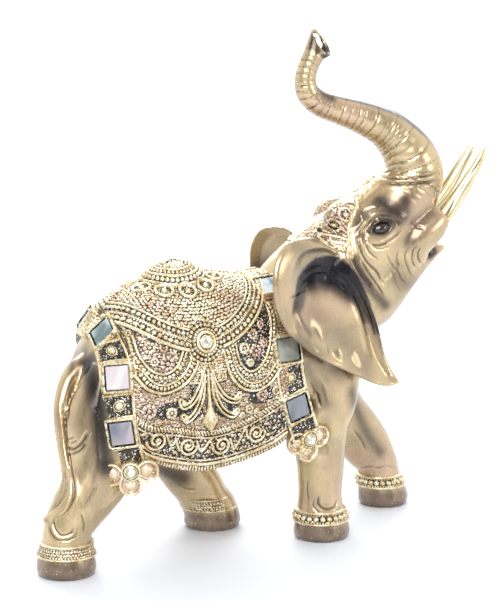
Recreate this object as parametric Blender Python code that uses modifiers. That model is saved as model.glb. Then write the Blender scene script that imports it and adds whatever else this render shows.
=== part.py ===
"""Souvenir elephant figurine with a raised trunk.

One painted resin casting carries the blanket, straps, head cloth and anklets. Square mirror tiles and
rhinestones are glued into seats of the casting. The elephant walks towards +X, +Z is up, and its right
side, which has the smaller Y, is the show side. The origin is on the floor under the middle of the figure.
"""
import math

import bmesh
import bpy
import numpy as np
from mathutils import Matrix, Vector
from mathutils.bvhtree import BVHTree

# Driving sizes, in metres.
FIGURE_HEIGHT = 0.211
TILE_SIDE = 0.0094
TILE_THICKNESS = 0.0014
STONE_WIDTH = 0.0056
STONE_HEIGHT = 0.0022
PENDANT_STONE_WIDTH = 0.0046
PENDANT_STONE_HEIGHT = 0.0019
GLUE_GAP = 0.0003
CLOTH_THICKNESS = 0.0022
STRAP_WIDTH = 0.0126
STRAP_THICKNESS = 0.0030
STRAP_RAIL_WIDTH = 0.0016
STRAP_RAIL_HEIGHT = 0.0008
FRAME_LIP = 0.0005
STUD_WIDTH = 0.0036
STUD_HEIGHT = 0.0014
PENDANT_LOBE_WIDTH = 0.0080
PENDANT_COLLAR_WIDTH = 0.0076
PENDANT_THICKNESS = 0.0036
ROPE_WIDTH = 0.0024
ROPE_HEIGHT = 0.0011
EAR_THICKNESS = 0.0030
ANKLET_HEIGHT = 0.0056
ANKLET_PROUD = 0.0011
CLOTH_EDGE_WIDTH = 0.0022

# The form is carved in parts of its height, so that one unit is a millimetre at the usual height.
HEIGHT_IN_UNITS = 211.0
UNIT = FIGURE_HEIGHT / HEIGHT_IN_UNITS

# The carved body is melted together on a grid of this many units and keeps this many triangles.
GRAIN = 0.95
BODY_TRIANGLES = 6600
# Cutters stand this far out of the surface, and what is set on the body reaches this far into it.
CUTTER_REACH = 6.0
ROOT = 4.0

# The head is turned a little to the elephant's right about an upright line through the neck.
HEAD_TURN = math.radians(10.0)
HEAD_PIVOT_X = 15.0

# The figure's own zero is moved by this much, in units, to bring the origin under its middle.
TO_CENTRE = (2.8, -2.5)

# Torso: x, height of the widest line, half width, reach above it, reach below it.
TORSO = [
    (-85.0, 64.0, 6.0, 6.0, 8.0),
    (-82.0, 65.0, 12.5, 11.0, 15.0),
    (-77.0, 67.0, 18.8, 17.0, 21.0),
    (-70.5, 69.0, 24.5, 24.5, 26.5),
    (-62.0, 70.0, 27.8, 33.0, 29.0),
    (-50.0, 71.0, 28.6, 37.0, 30.0),
    (-36.0, 71.0, 28.8, 39.0, 30.0),
    (-20.0, 72.0, 28.4, 37.5, 29.5),
    (-6.0, 73.0, 28.0, 34.5, 28.5),
    (8.0, 75.0, 27.5, 34.0, 27.5),
    (20.0, 77.0, 26.0, 32.0, 26.0),
    (32.0, 78.5, 23.5, 28.0, 24.0),
    (41.0, 79.0, 19.5, 23.0, 20.0),
    (47.0, 79.5, 13.0, 16.0, 14.0),
    (49.5, 80.0, 6.0, 8.0, 7.0),
]
TORSO_FULLNESS = 2.3

# Legs: x, y, z of the middle, then the half width fore and aft and the half width across.
LEGS = {
    "hind_near": [
        (-64.0, -12.5, 76.0, 15.0, 12.5), (-71.0, -14.0, 61.0, 17.6, 11.8), (-74.0, -16.0, 48.0, 16.4, 11.6),
        (-77.5, -17.3, 39.0, 13.8, 11.6), (-83.5, -17.8, 30.5, 11.9, 10.8), (-88.5, -18.0, 24.0, 10.6, 10.2),
        (-91.5, -18.0, 18.5, 9.7, 9.6), (-92.3, -18.0, 12.5, 9.9, 9.8), (-92.6, -18.0, 6.5, 11.4, 11.2),
        (-92.8, -18.0, 2.0, 11.6, 11.4), (-93.0, -18.0, -1.6, 10.6, 10.4),
    ],
    "hind_far": [
        (-56.0, 13.0, 74.0, 17.0, 14.0), (-50.0, 15.0, 58.0, 16.5, 13.5), (-40.0, 16.5, 44.0, 13.8, 12.4),
        (-30.5, 17.6, 33.0, 11.2, 11.2), (-24.4, 18.0, 24.8, 10.9, 10.8), (-19.5, 18.0, 18.5, 10.7, 10.6),
        (-16.3, 18.0, 12.5, 10.6, 10.5), (-13.6, 18.0, 7.5, 11.6, 11.4), (-12.6, 18.0, 2.5, 12.0, 11.7),
        (-12.4, 18.0, -1.6, 10.9, 10.6),
    ],
    "fore_near": [
        (20.0, -12.0, 86.0, 17.0, 14.0), (24.5, -15.0, 72.0, 14.5, 13.0), (24.0, -16.5, 59.0, 12.9, 12.0),
        (21.2, -17.0, 50.0, 11.6, 11.4), (20.6, -17.0, 40.0, 10.9, 10.8), (21.0, -17.0, 30.0, 9.8, 9.8),
        (20.9, -17.0, 20.0, 9.0, 9.2), (20.9, -17.0, 14.0, 9.4, 9.6), (21.4, -17.0, 8.0, 11.0, 10.8),
        (21.7, -17.0, 2.5, 11.7, 11.4), (21.9, -17.0, -1.6, 10.7, 10.4),
    ],
    "fore_far": [
        (26.0, 12.0, 84.0, 17.0, 14.0), (33.0, 14.5, 68.0, 15.0, 13.4), (41.0, 16.0, 55.0, 13.4, 12.4),
        (47.6, 16.6, 44.5, 12.0, 11.6), (55.4, 17.0, 35.5, 11.6, 11.0), (62.0, 17.0, 27.0, 11.0, 10.4),
        (67.2, 17.0, 19.0, 9.2, 9.4), (68.6, 17.0, 13.0, 9.2, 9.4), (69.8, 17.0, 7.5, 10.4, 10.4),
        (70.8, 17.0, 2.5, 11.0, 10.8), (71.4, 17.0, -1.6, 10.0, 9.8),
    ],
}

# Anklets: leg, height of the band's middle. Swirl bosses above them: leg, height, way it faces in degrees.
ANKLETS = [("hind_near", 10.8), ("hind_far", 11.5), ("fore_near", 10.2), ("fore_far", 11.5)]
# Section of an anklet: share of its height from the middle, and how far out as a share of ANKLET_PROUD.
ANKLET_SECTION = [(-0.5, -1.5), (-0.5, 0.4), (-0.25, 1.0), (0.25, 1.0), (0.5, 0.4), (0.5, -1.5)]
BOSSES = [
    ("hind_near", 19.5, -118.0), ("fore_near", 17.0, -137.0),
    ("hind_far", 20.0, 112.0), ("fore_far", 18.5, 118.0),
]
BOSS_WIDTH = 7.4
BOSS_PROUD = 1.0

# Neck, head and trunk in the head's own plane: x, z, half width in the plane, half width across it.
HEAD_AND_TRUNK = [
    (13.0, 93.0, 20.0, 18.5), (21.5, 100.5, 21.5, 20.0), (31.0, 108.5, 21.6, 20.6),
    (41.0, 117.0, 20.5, 20.0), (50.0, 125.5, 18.2, 18.2), (57.5, 133.0, 15.4, 16.2),
    (64.0, 139.8, 14.0, 14.6), (68.3, 145.6, 13.4, 13.6), (69.6, 151.1, 12.2, 12.3),
    (67.2, 157.4, 11.2, 11.4), (62.4, 163.8, 9.6, 9.8), (56.0, 169.2, 8.3, 8.5),
    (45.8, 173.8, 7.0, 7.2), (34.8, 177.4, 5.9, 6.2), (27.6, 180.0, 5.4, 5.6),
    (22.7, 184.0, 4.9, 5.0), (21.4, 190.0, 4.4, 4.5), (22.9, 195.4, 4.2, 4.3),
    (25.0, 199.8, 4.4, 4.4),
]
# Trunk tip: middle of the mouth of the trunk, the way it faces and its long direction, then its half sizes.
TIP_MIDDLE = (28.4, -1.6, 204.9)
TIP_FACES = (0.50, -0.66, 0.56)
TIP_LONG = (-0.36, 0.44, 0.82)
TIP_HALF_LONG = 6.9
TIP_HALF_SHORT = 4.5
TIP_HOLLOW_SHARE = 0.66
TIP_HOLLOW_FLOOR_SHARE = 0.55
TIP_DEPTH = 5.0
# Rings between the trunk and its mouth, each by its share of the way.
TIP_RING_SHARES = (0.35, 0.7)

# Cheeks, throat and lower lip, in the head's plane.
JAW = [
    (28.0, 92.5, 19.0, 18.0), (38.0, 100.0, 20.5, 18.4), (49.0, 105.5, 20.0, 16.4), (58.0, 109.2, 16.0, 13.4),
    (66.0, 112.0, 10.5, 9.6), (72.5, 114.4, 6.4, 6.6), (78.5, 116.7, 3.2, 4.4), (83.0, 118.2, 1.3, 2.2),
]
# Tusk sheath and tusk: x, distance from the head's plane, z, half width.
SHEATH = [
    (52.0, 5.0, 113.0, 4.0), (60.0, 7.2, 118.2, 7.8), (68.0, 8.8, 123.8, 8.0), (74.5, 9.0, 128.6, 6.6),
    (79.4, 8.6, 133.6, 4.6),
]
TUSK = [
    (76.0, 8.6, 127.5, 3.2), (81.0, 8.4, 133.6, 3.1), (86.8, 8.0, 141.2, 2.8), (92.6, 7.6, 150.0, 2.3),
    (96.4, 7.2, 156.4, 1.8), (98.2, 7.0, 159.6, 1.1),
]
# Lumps of each side of the head: x, distance from the plane, z and three half sizes. The first is its dome,
# under the head cloth, then come the brow, the eye, the cheek and the flesh over the tusk's root.
HEAD_DOME = (38.5, 6.0, 129.5, 10.5, 9.5, 10.8)
HEAD_LUMPS = [
    HEAD_DOME,
    (48.0, 13.4, 134.0, 6.4, 4.0, 4.2),
    (48.8, 16.4, 129.2, 3.3, 2.0, 2.4),
    (62.0, 6.0, 118.0, 12.0, 9.6, 9.0),
    (74.0, 0.0, 123.0, 6.5, 8.0, 6.0),
]

# Head cloth: its edge from the trunk down to the drop on the temple, as x and z of the head's own frame.
CLOTH_EDGE = [(53.4, 148.2), (48.6, 144.8), (44.4, 141.6), (40.6, 138.4), (37.6, 134.6), (35.6, 129.6),
              (34.9, 124.0)]
CLOTH_DROP = (34.8, 119.6)
CLOTH_DROP_HALVES = (1.9, 1.8, 3.4)

# Tail, hanging to the near hind leg: x, y, z, half width.
TAIL = [
    (-74.0, 0.0, 80.0, 5.2), (-81.0, -2.0, 77.0, 4.6), (-86.2, -4.5, 72.0, 3.7), (-89.8, -7.0, 63.0, 3.2),
    (-90.8, -8.6, 52.5, 3.0), (-89.6, -9.6, 42.5, 3.0), (-87.8, -10.2, 34.5, 3.3), (-89.8, -11.2, 27.0, 3.8),
    (-94.4, -12.2, 22.0, 3.2), (-99.2, -12.8, 18.6, 1.3),
]

# Ear: its front edge, fixed to the head, and its free edge round the back to the same tip.
EAR_FRONT = [
    (25.5, -19.0, 120.6), (30.0, -20.0, 113.0), (35.5, -21.0, 106.0), (40.4, -22.0, 99.0),
    (43.6, -23.5, 89.5), (45.6, -25.0, 79.0), (47.8, -26.5, 72.4), (50.2, -28.0, 67.2),
]
EAR_BACK = [
    (21.0, -21.0, 124.2), (10.0, -25.0, 128.8), (-3.6, -31.0, 127.6), (-10.2, -35.0, 121.4),
    (-12.2, -37.0, 113.0), (-10.8, -37.5, 102.8), (-6.6, -37.0, 94.2), (-0.4, -36.0, 88.0),
    (7.8, -35.0, 81.6), (19.0, -34.0, 75.8), (28.0, -33.0, 71.4), (36.4, -32.0, 67.2),
    (44.6, -31.0, 64.8), (50.0, -29.4, 65.4),
]
# Relief of the ear. Each form has its height, then pairs of where its middle is and how far it spreads.
# EDGE counts from the free edge, HEAD from the head, DOWN is a share of the way down, X and Z are places.
EAR_ROLL = 3.4
EAR_ROLL_EDGE = (6.5, 5.5)
EAR_ROLL_DOWN = (0.18, 0.26)
EAR_LIP = 0.9
EAR_LIP_EDGE = (1.5, 2.2)
EAR_BORDER = 1.4
EAR_BORDER_HEAD = (1.5, 2.2)
EAR_BORDER_DOWN = (0.68, 0.30)
EAR_HOLLOW = 6.5
EAR_HOLLOW_X = (17.0, 11.0)
EAR_HOLLOW_Z = (110.0, 8.5)
EAR_VALLEY = 2.2
EAR_VALLEY_HEAD = (7.0, 4.0)
EAR_VALLEY_DOWN = (0.62, 0.30)
EAR_FIELD = 2.6
EAR_FIELD_X = (16.0, 13.0)
EAR_FIELD_Z = (92.0, 8.0)
EAR_RIPPLE = 0.9
EAR_RIPPLE_EDGE = (9.0, 5.5)
EAR_RIPPLE_DOWN = (0.62, 0.22)
# The ripples' waves along x: turn in radians for each unit, and the turn they start with.
EAR_RIPPLE_RATE = 0.62
EAR_RIPPLE_START = 0.6
# The relief fades out over this much beside the head.
EAR_FADE = 5.0
# The far ear is set wider and is a little shorter: turn about its front edge, and share of the near ear.
FAR_EAR_TURN = math.radians(14.0)
FAR_EAR_SHARE = 0.66
FAR_EAR_SHIFT = np.array([8.0, 2.0, -4.0])


def along(rows, steps):
    """Rows of a smooth curve through the given rows, evenly spaced by their first three columns."""
    given = np.asarray(rows, float)
    padded = np.vstack([2 * given[0] - given[1], given, 2 * given[-1] - given[-2]])
    fine = []
    for i in range(len(given) - 1):
        a, b, c, d = padded[i:i + 4]
        t = np.linspace(0.0, 1.0, 24, endpoint=False)[:, None]
        fine.append(0.5 * (2 * b + (c - a) * t + (2 * a - 5 * b + 4 * c - d) * t ** 2
                           + (3 * b - a - 3 * c + d) * t ** 3))
    fine = np.vstack(fine + [given[-1:]])
    reach = np.concatenate([[0.0], np.cumsum(np.linalg.norm(np.diff(fine[:, :3], axis=0), axis=1))])
    wanted = np.linspace(0.0, reach[-1], steps)
    return np.stack([np.interp(wanted, reach, column) for column in fine.T], axis=1)


def swell(value, middle, spread):
    """A soft rise from 0 to 1 about a middle."""
    return np.exp(-((value - middle) / spread) ** 2)


# Everything is first built in units, in a bmesh, and then scaled to metres.
RIGHT_SIDE = Matrix.Diagonal((1.0, -1.0, 1.0, 1.0))
LEFT_SIDE = Matrix.Identity(4)
SIDES = {"right": RIGHT_SIDE, "left": LEFT_SIDE}
HEAD_PLACE = (Matrix.Translation((HEAD_PIVOT_X, 0.0, 0.0)) @ Matrix.Rotation(-HEAD_TURN, 4, "Z")
              @ Matrix.Translation((-HEAD_PIVOT_X, 0.0, 0.0)))


def moved(place, points):
    """An array of points moved by a matrix."""
    turn = np.array(place)
    return np.asarray(points, float) @ turn[:3, :3].T + turn[:3, 3]


def add_loft(bm, rings, place=LEFT_SIDE):
    """A closed skin through rings of equal count, with a fan at each end."""
    rows = [[bm.verts.new(point) for point in ring] for ring in moved(place, rings)]
    for lower, upper in zip(rows[:-1], rows[1:]):
        for j in range(len(lower)):
            k = (j + 1) % len(lower)
            bm.faces.new((lower[j], lower[k], upper[k], upper[j]))
    for row in (rows[0], rows[-1]):
        middle = bm.verts.new(sum((vert.co for vert in row), Vector()) / len(row))
        for j in range(len(row)):
            bm.faces.new((row[j], row[(j + 1) % len(row)], middle))


def add_ball(bm, place, middle, halves, segments=20):
    """An ellipsoid with three half sizes."""
    bmesh.ops.create_uvsphere(bm, u_segments=segments, v_segments=segments // 2, radius=1.0,
                              matrix=place @ Matrix.Translation(middle) @ Matrix.Diagonal((*halves, 1.0)))


def add_block(bm, place, half_side, low, high):
    """A square block standing on a place, from one height to another."""
    halves = (half_side, half_side, (high - low) / 2, 1.0)
    bmesh.ops.create_cube(bm, size=2.0, matrix=place @ Matrix.Translation((0.0, 0.0, (low + high) / 2))
                          @ Matrix.Diagonal(halves))


def add_disc(bm, place, width, low, high, top_share=1.0, sides=12):
    """A round boss standing on a place, with its top drawn in to a share of its width."""
    bmesh.ops.create_cone(bm, cap_ends=True, segments=sides, radius1=width / 2, radius2=width / 2 * top_share,
                          depth=high - low, matrix=place @ Matrix.Translation((0.0, 0.0, (low + high) / 2)))


def swept(rows, steps, sides=28):
    """Rings round a path of rows x, y, z, half width in the upright plane, half width across."""
    rows = along(rows, steps)
    path = rows[:, :3]
    ahead = np.gradient(path, axis=0)
    ahead /= np.linalg.norm(ahead, axis=1)[:, None]
    across = np.array([0.0, 1.0, 0.0]) - ahead * ahead[:, 1:2]
    across /= np.linalg.norm(across, axis=1)[:, None]
    inplane = np.cross(across, ahead)
    turn = np.linspace(0.0, 2 * math.pi, sides, endpoint=False)
    return (path[:, None, :]
            + inplane[:, None, :] * (rows[:, 3, None] * np.cos(turn))[:, :, None]
            + across[:, None, :] * (rows[:, 4, None] * np.sin(turn))[:, :, None])


def in_plane(rows):
    """Rows x, z, two half widths of the head's plane as rows x, y, z, two half widths."""
    return [(x, 0.0, z, a, b) for x, z, a, b in rows]


def round_rows(rows):
    """Rows x, y, z, half width as rows of a round section."""
    return [(x, y, z, half, half) for x, y, z, half in rows]


def torso_rings():
    turn = np.linspace(0.0, 2 * math.pi, 56, endpoint=False)
    cos, sin = np.cos(turn), np.sin(turn)
    power = 2.0 / TORSO_FULLNESS
    rings = []
    for x, middle, half, above, below in along(TORSO, 60):
        reach = np.where(cos > 0, above, below)
        rings.append(np.stack([
            np.full_like(turn, x),
            half * np.sign(sin) * np.abs(sin) ** power,
            middle + reach * np.sign(cos) * np.abs(cos) ** power], axis=1))
    return np.array(rings)


def tip_place():
    """Matrix of the trunk's mouth: X its long way, Y its short way, Z the way it faces."""
    facing = np.array(TIP_FACES) / np.linalg.norm(TIP_FACES)
    long_way = np.array(TIP_LONG) - facing * np.dot(TIP_LONG, facing)
    long_way /= np.linalg.norm(long_way)
    axes = np.stack([long_way, np.cross(facing, long_way), facing, TIP_MIDDLE], axis=1)
    return Matrix([*axes.tolist(), (0.0, 0.0, 0.0, 1.0)])


def trunk_and_head_rings():
    """Rings from the neck to the mouth of the trunk. The mouth's ring is matched to the trunk's last."""
    stem = moved(HEAD_PLACE, swept(in_plane(HEAD_AND_TRUNK), 74))
    turn = np.linspace(0.0, 2 * math.pi, stem.shape[1], endpoint=False)
    oval = [TIP_HALF_LONG * np.cos(turn), TIP_HALF_SHORT * np.sin(turn), np.zeros_like(turn)]
    mouth = moved(tip_place(), np.stack(oval, axis=1))
    ways = [np.roll(ring, shift, axis=0) for ring in (mouth, mouth[::-1]) for shift in range(len(mouth))]
    mouth = min(ways, key=lambda ring: np.sum((ring - stem[-1]) ** 2))
    between = [stem[-1] * (1 - share) + mouth * share for share in TIP_RING_SHARES]
    return np.array([*stem, *between, mouth])


def pressed_on(tree, x, z):
    """Where a line from the far side, at x and z, meets a surface."""
    return tuple(tree.ray_cast(Vector((x, HEIGHT_IN_UNITS, z)), Vector((0.0, -1.0, 0.0)))[0])


def add_head_cloth(bm):
    """The corded edge of the head cloth and the drop that hangs on each temple."""
    skull = bmesh.new()
    add_loft(skull, swept(in_plane(HEAD_AND_TRUNK), 74))
    add_ball(skull, LEFT_SIDE, HEAD_DOME[:3], HEAD_DOME[3:])
    tree = BVHTree.FromBMesh(skull)
    skull.free()
    half = CLOTH_EDGE_WIDTH / UNIT / 2
    edge = swept(round_rows([(*pressed_on(tree, x, z), half) for x, z in CLOTH_EDGE]), 40, 10)
    for side in SIDES.values():
        add_loft(bm, edge, HEAD_PLACE @ side)
        add_ball(bm, HEAD_PLACE @ side, pressed_on(tree, *CLOTH_DROP), CLOTH_DROP_HALVES)


def ear_sheet(rows=44, columns=34):
    """Middle surface of the near ear: rows from top to tip, columns from the head to the free edge."""
    front = along(EAR_FRONT, rows)
    back = along(EAR_BACK, rows)
    over = np.linspace(0.0, 1.0, columns)[None, :]
    down = np.linspace(0.0, 1.0, rows)[:, None]
    sheet = front[:, None, :] * (1 - over[..., None]) + back[:, None, :] * over[..., None]
    width = np.linalg.norm(back - front, axis=1)[:, None]
    to_edge = width * (1 - over)
    to_head = width * over
    x, z = sheet[:, :, 0], sheet[:, :, 2]
    edge = EAR_ROLL * swell(to_edge, *EAR_ROLL_EDGE) * swell(down, *EAR_ROLL_DOWN)
    edge += EAR_LIP * swell(to_edge, *EAR_LIP_EDGE)
    border = EAR_BORDER * swell(to_head, *EAR_BORDER_HEAD) * swell(down, *EAR_BORDER_DOWN)
    hollow = EAR_HOLLOW * swell(x, *EAR_HOLLOW_X) * swell(z, *EAR_HOLLOW_Z)
    valley = EAR_VALLEY * swell(to_head, *EAR_VALLEY_HEAD) * swell(down, *EAR_VALLEY_DOWN)
    field = EAR_FIELD * swell(x, *EAR_FIELD_X) * swell(z, *EAR_FIELD_Z)
    waves = np.sin(x * EAR_RIPPLE_RATE + EAR_RIPPLE_START)
    ripple = EAR_RIPPLE * waves * swell(to_edge, *EAR_RIPPLE_EDGE) * swell(down, *EAR_RIPPLE_DOWN)
    away_from_head = np.clip(to_head / EAR_FADE, 0.0, 1.0)
    sheet[:, :, 1] -= edge + border + (field + ripple - hollow - valley) * away_from_head
    return sheet


def ear_rings(sheet):
    """Closed rings round the ear's sheet: out along its outer face, round the free edge and back behind."""
    over = np.linspace(0.0, 1.0, sheet.shape[1])
    half = 0.5 * EAR_THICKNESS / UNIT * np.sqrt(np.clip(1 - (2 * over - 1) ** 8, 0.02, 1.0))
    outer = sheet.copy()
    outer[:, :, 1] -= half
    inner = sheet.copy()
    inner[:, :, 1] += half
    return np.concatenate([outer, inner[:, ::-1]], axis=1)


def far_ear_sheet():
    """The near ear's sheet, shortened and swung out about its front edge. It is mirrored when it is added."""
    near = ear_sheet()
    hinge = near[:, :1]
    offset = (near - hinge) * np.array([FAR_EAR_SHARE, 1.0, 1.0])
    cos, sin = math.cos(FAR_EAR_TURN), math.sin(FAR_EAR_TURN)
    turned = offset.copy()
    turned[:, :, 0] = offset[:, :, 0] * cos - offset[:, :, 1] * sin
    turned[:, :, 1] = offset[:, :, 1] * cos + offset[:, :, 0] * sin
    return hinge + turned + FAR_EAR_SHIFT


# The blanket and the straps lie on the flank. Its plan is x along the back and v down the side, in units,
# where v is WIDEST on the torso's widest line and less above it. The tables hold the left flank.
WIDEST = 50.0
FLANK_X = np.arange(-90.0, 25.0, 1.0)
FLANK_V = np.arange(-10.0, 100.0, 0.5)
SKIRT_TUCK = 0.08
SKIRT_BEND = 38.0
SKIRT_DROP = 100.0


def flank_surface():
    """Tables of y and z of the flank at each x and v: the torso's upper half, then a skirt hanging down."""
    rows = along(TORSO, 400)
    turn = np.linspace(0.0, math.pi / 2, 120)
    power = 2.0 / TORSO_FULLNESS
    drop = np.linspace(0.5, SKIRT_DROP, 160)
    tuck = 1 - SKIRT_TUCK * (np.minimum(drop, SKIRT_BEND) / SKIRT_BEND) ** 2
    y_table, z_table, spine = [], [], []
    for x in FLANK_X:
        middle, half, above = [np.interp(x, rows[:, 0], rows[:, k]) for k in (1, 2, 3)]
        y = np.concatenate([half * np.sin(turn) ** power, half * tuck])
        z = np.concatenate([middle + above * np.cos(turn) ** power, middle - drop])
        s = np.concatenate([[0.0], np.cumsum(np.hypot(np.diff(y), np.diff(z)))])
        from_spine = FLANK_V - WIDEST + s[len(turn) - 1]
        y_table.append(np.sign(from_spine) * np.interp(np.abs(from_spine), s, y))
        z_table.append(np.interp(np.abs(from_spine), s, z))
        spine.append(WIDEST - s[len(turn) - 1])
    return np.array(y_table), np.array(z_table), np.array(spine)


FLANK_Y, FLANK_Z, SPINE_V = flank_surface()
SLOPE_XY, SLOPE_VY = np.gradient(FLANK_Y, FLANK_X, FLANK_V)
SLOPE_XZ, SLOPE_VZ = np.gradient(FLANK_Z, FLANK_X, FLANK_V)


def spine_at(x):
    """The v of the spine at x."""
    return np.interp(x, FLANK_X, SPINE_V)


def look_up(table, x, v):
    """Value of a flank table between its grid points."""
    i = np.clip((x - FLANK_X[0]) / (FLANK_X[1] - FLANK_X[0]), 0, len(FLANK_X) - 1.001)
    j = np.clip((v - FLANK_V[0]) / (FLANK_V[1] - FLANK_V[0]), 0, len(FLANK_V) - 1.001)
    i0, j0 = i.astype(int), j.astype(int)
    fi, fj = i - i0, j - j0
    return (table[i0, j0] * (1 - fi) * (1 - fj) + table[i0 + 1, j0] * fi * (1 - fj)
            + table[i0, j0 + 1] * (1 - fi) * fj + table[i0 + 1, j0 + 1] * fi * fj)


def flank_frame(x, v):
    """Points on the left flank and their unit directions: along x, down the side and outwards."""
    x, v = np.broadcast_arrays(np.asarray(x, float), np.asarray(v, float))
    point = np.stack([x, look_up(FLANK_Y, x, v), look_up(FLANK_Z, x, v)], axis=-1)
    down = np.stack([np.zeros_like(x), look_up(SLOPE_VY, x, v), look_up(SLOPE_VZ, x, v)], axis=-1)
    forth = np.stack([np.ones_like(x), look_up(SLOPE_XY, x, v), look_up(SLOPE_XZ, x, v)], axis=-1)
    down /= np.linalg.norm(down, axis=-1)[..., None]
    out = np.cross(forth, down)
    out /= np.linalg.norm(out, axis=-1)[..., None]
    return point, np.cross(down, out), down, out


def shell_rings(plan, lift):
    """Closed rings of a shell raised above the left flank over a plan grid, and sunk into it by its root."""
    point, _, _, out = flank_frame(plan[..., 0], plan[..., 1])
    outer = point + out * lift[..., None]
    inner = point - out * ROOT
    return np.concatenate([outer, inner[:, ::-1]], axis=1)


# Blanket, in the flank's plan: its start and end along x, how far it crosses the spine, and its hem. Then the
# saddle cloth's round and the ornament below it.
BLANKET_START = -66.5
BLANKET_END = -1.0
BLANKET_OVERLAP = 2.0
HEM = [(-66.0, 66.0), (-63.0, 71.5), (-59.0, 76.2), (-50.8, 80.2), (-38.2, 82.5), (-22.2, 81.8), (-8.8, 79.2),
       (-2.0, 76.5), (1.0, 71.0)]
SADDLE_MIDDLE = (-37.0, 0.0)
SADDLE_ROUND = 34.5
SADDLE_FIELD = 26.5
SADDLE_LIFT = 0.7
FIELD_LIFT = 1.2
DOME_MIDDLE_X = -38.0
DOME_REACH = 13.0
DOME_HEIGHT = 5.2
DOME_POWER = 0.8
MEDALLION_PLACE = (-37.0, 31.5)
MEDALLION_WIDTH = 11.6
MEDALLION_LIFT = 2.2
MEDALLION_STEEPNESS = 1.6
SWAGS = [(-52.0, 36.5), (-16.0, 38.0)]
SWAG_INNER = 8.0
SWAG_OUTER = 13.0
SWAG_LIFT = 0.9
SWAG_TUCK = 1.0
LANCE = [(-37.0, 42.0), (-36.8, 50.0), (-36.0, 58.0), (-35.5, 67.0)]
LANCE_WIDTHS = [(42.0, 2.4), (52.0, 2.0), (60.0, 6.0), (67.5, 0.6)]
LANCE_LIFT = 1.7
LANCE_STEEPNESS = 1.5
CURLS = [
    [(-41.0, 42.0), (-43.6, 49.0), (-46.6, 53.6), (-49.6, 53.4), (-49.0, 50.8)],
    [(-39.6, 44.0), (-41.0, 53.0), (-43.6, 59.0), (-47.4, 60.6), (-48.2, 57.6)],
    [(-33.4, 42.0), (-30.4, 49.0), (-26.6, 54.6), (-23.4, 55.6), (-23.0, 52.8)],
    [(-34.4, 44.0), (-32.0, 53.0), (-28.8, 59.0), (-25.0, 60.8), (-24.2, 58.0)],
]
CURL_LIFT = 1.5
BAND_TOP = [(-65.0, 57.0), (-53.2, 63.6), (-38.2, 67.0), (-22.8, 66.0), (-6.0, 60.6)]
BAND_FOOT = [(-63.0, 71.6), (-51.0, 77.4), (-38.2, 79.8), (-22.2, 79.2), (-8.8, 76.6), (-2.0, 74.0)]
SCROLL_MIDDLES = [(-58.6, 67.6), (-45.8, 71.6), (-31.0, 73.2), (-15.4, 71.0)]
SCROLL_ROUND = 3.2


def smooth_line(points, steps=24):
    """A smooth line in the plan through the given points."""
    return along([(x, v, 0.0) for x, v in points], steps)[:, :2]


def distance_to(line, x, v):
    """Distance in the plan from each point to a line of points."""
    best = np.full(np.shape(x), 1e9)
    for (ax, av), (bx, bv) in zip(line[:-1], line[1:]):
        length = (bx - ax) ** 2 + (bv - av) ** 2
        t = np.clip(((x - ax) * (bx - ax) + (v - av) * (bv - av)) / length, 0.0, 1.0)
        best = np.minimum(best, np.hypot(x - ax - t * (bx - ax), v - av - t * (bv - av)))
    return best


def rope(distance, lift=0.0):
    """Height of a round-backed rope at a distance from its middle line."""
    width, high = ROPE_WIDTH / UNIT, ROPE_HEIGHT / UNIT + lift
    return high * np.sqrt(np.clip(1 - (2 * distance / width) ** 2, 0.0, 1.0))


def ring_distance(place, radius, x, v):
    """Distance in the plan from each point to a circle."""
    return np.abs(np.hypot(x - place[0], v - place[1]) - radius)


def scroll_vines():
    """The S-curves that join the scroll rings, each from one ring to the next."""
    vines = []
    for (ax, av), (bx, bv) in zip(SCROLL_MIDDLES[:-1], SCROLL_MIDDLES[1:]):
        vines.append(smooth_line([(ax + SCROLL_ROUND, av - 1.0), ((ax + bx) / 2, (av + bv) / 2),
                                  (bx - SCROLL_ROUND, bv + 1.0)], 10))
    return vines


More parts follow.
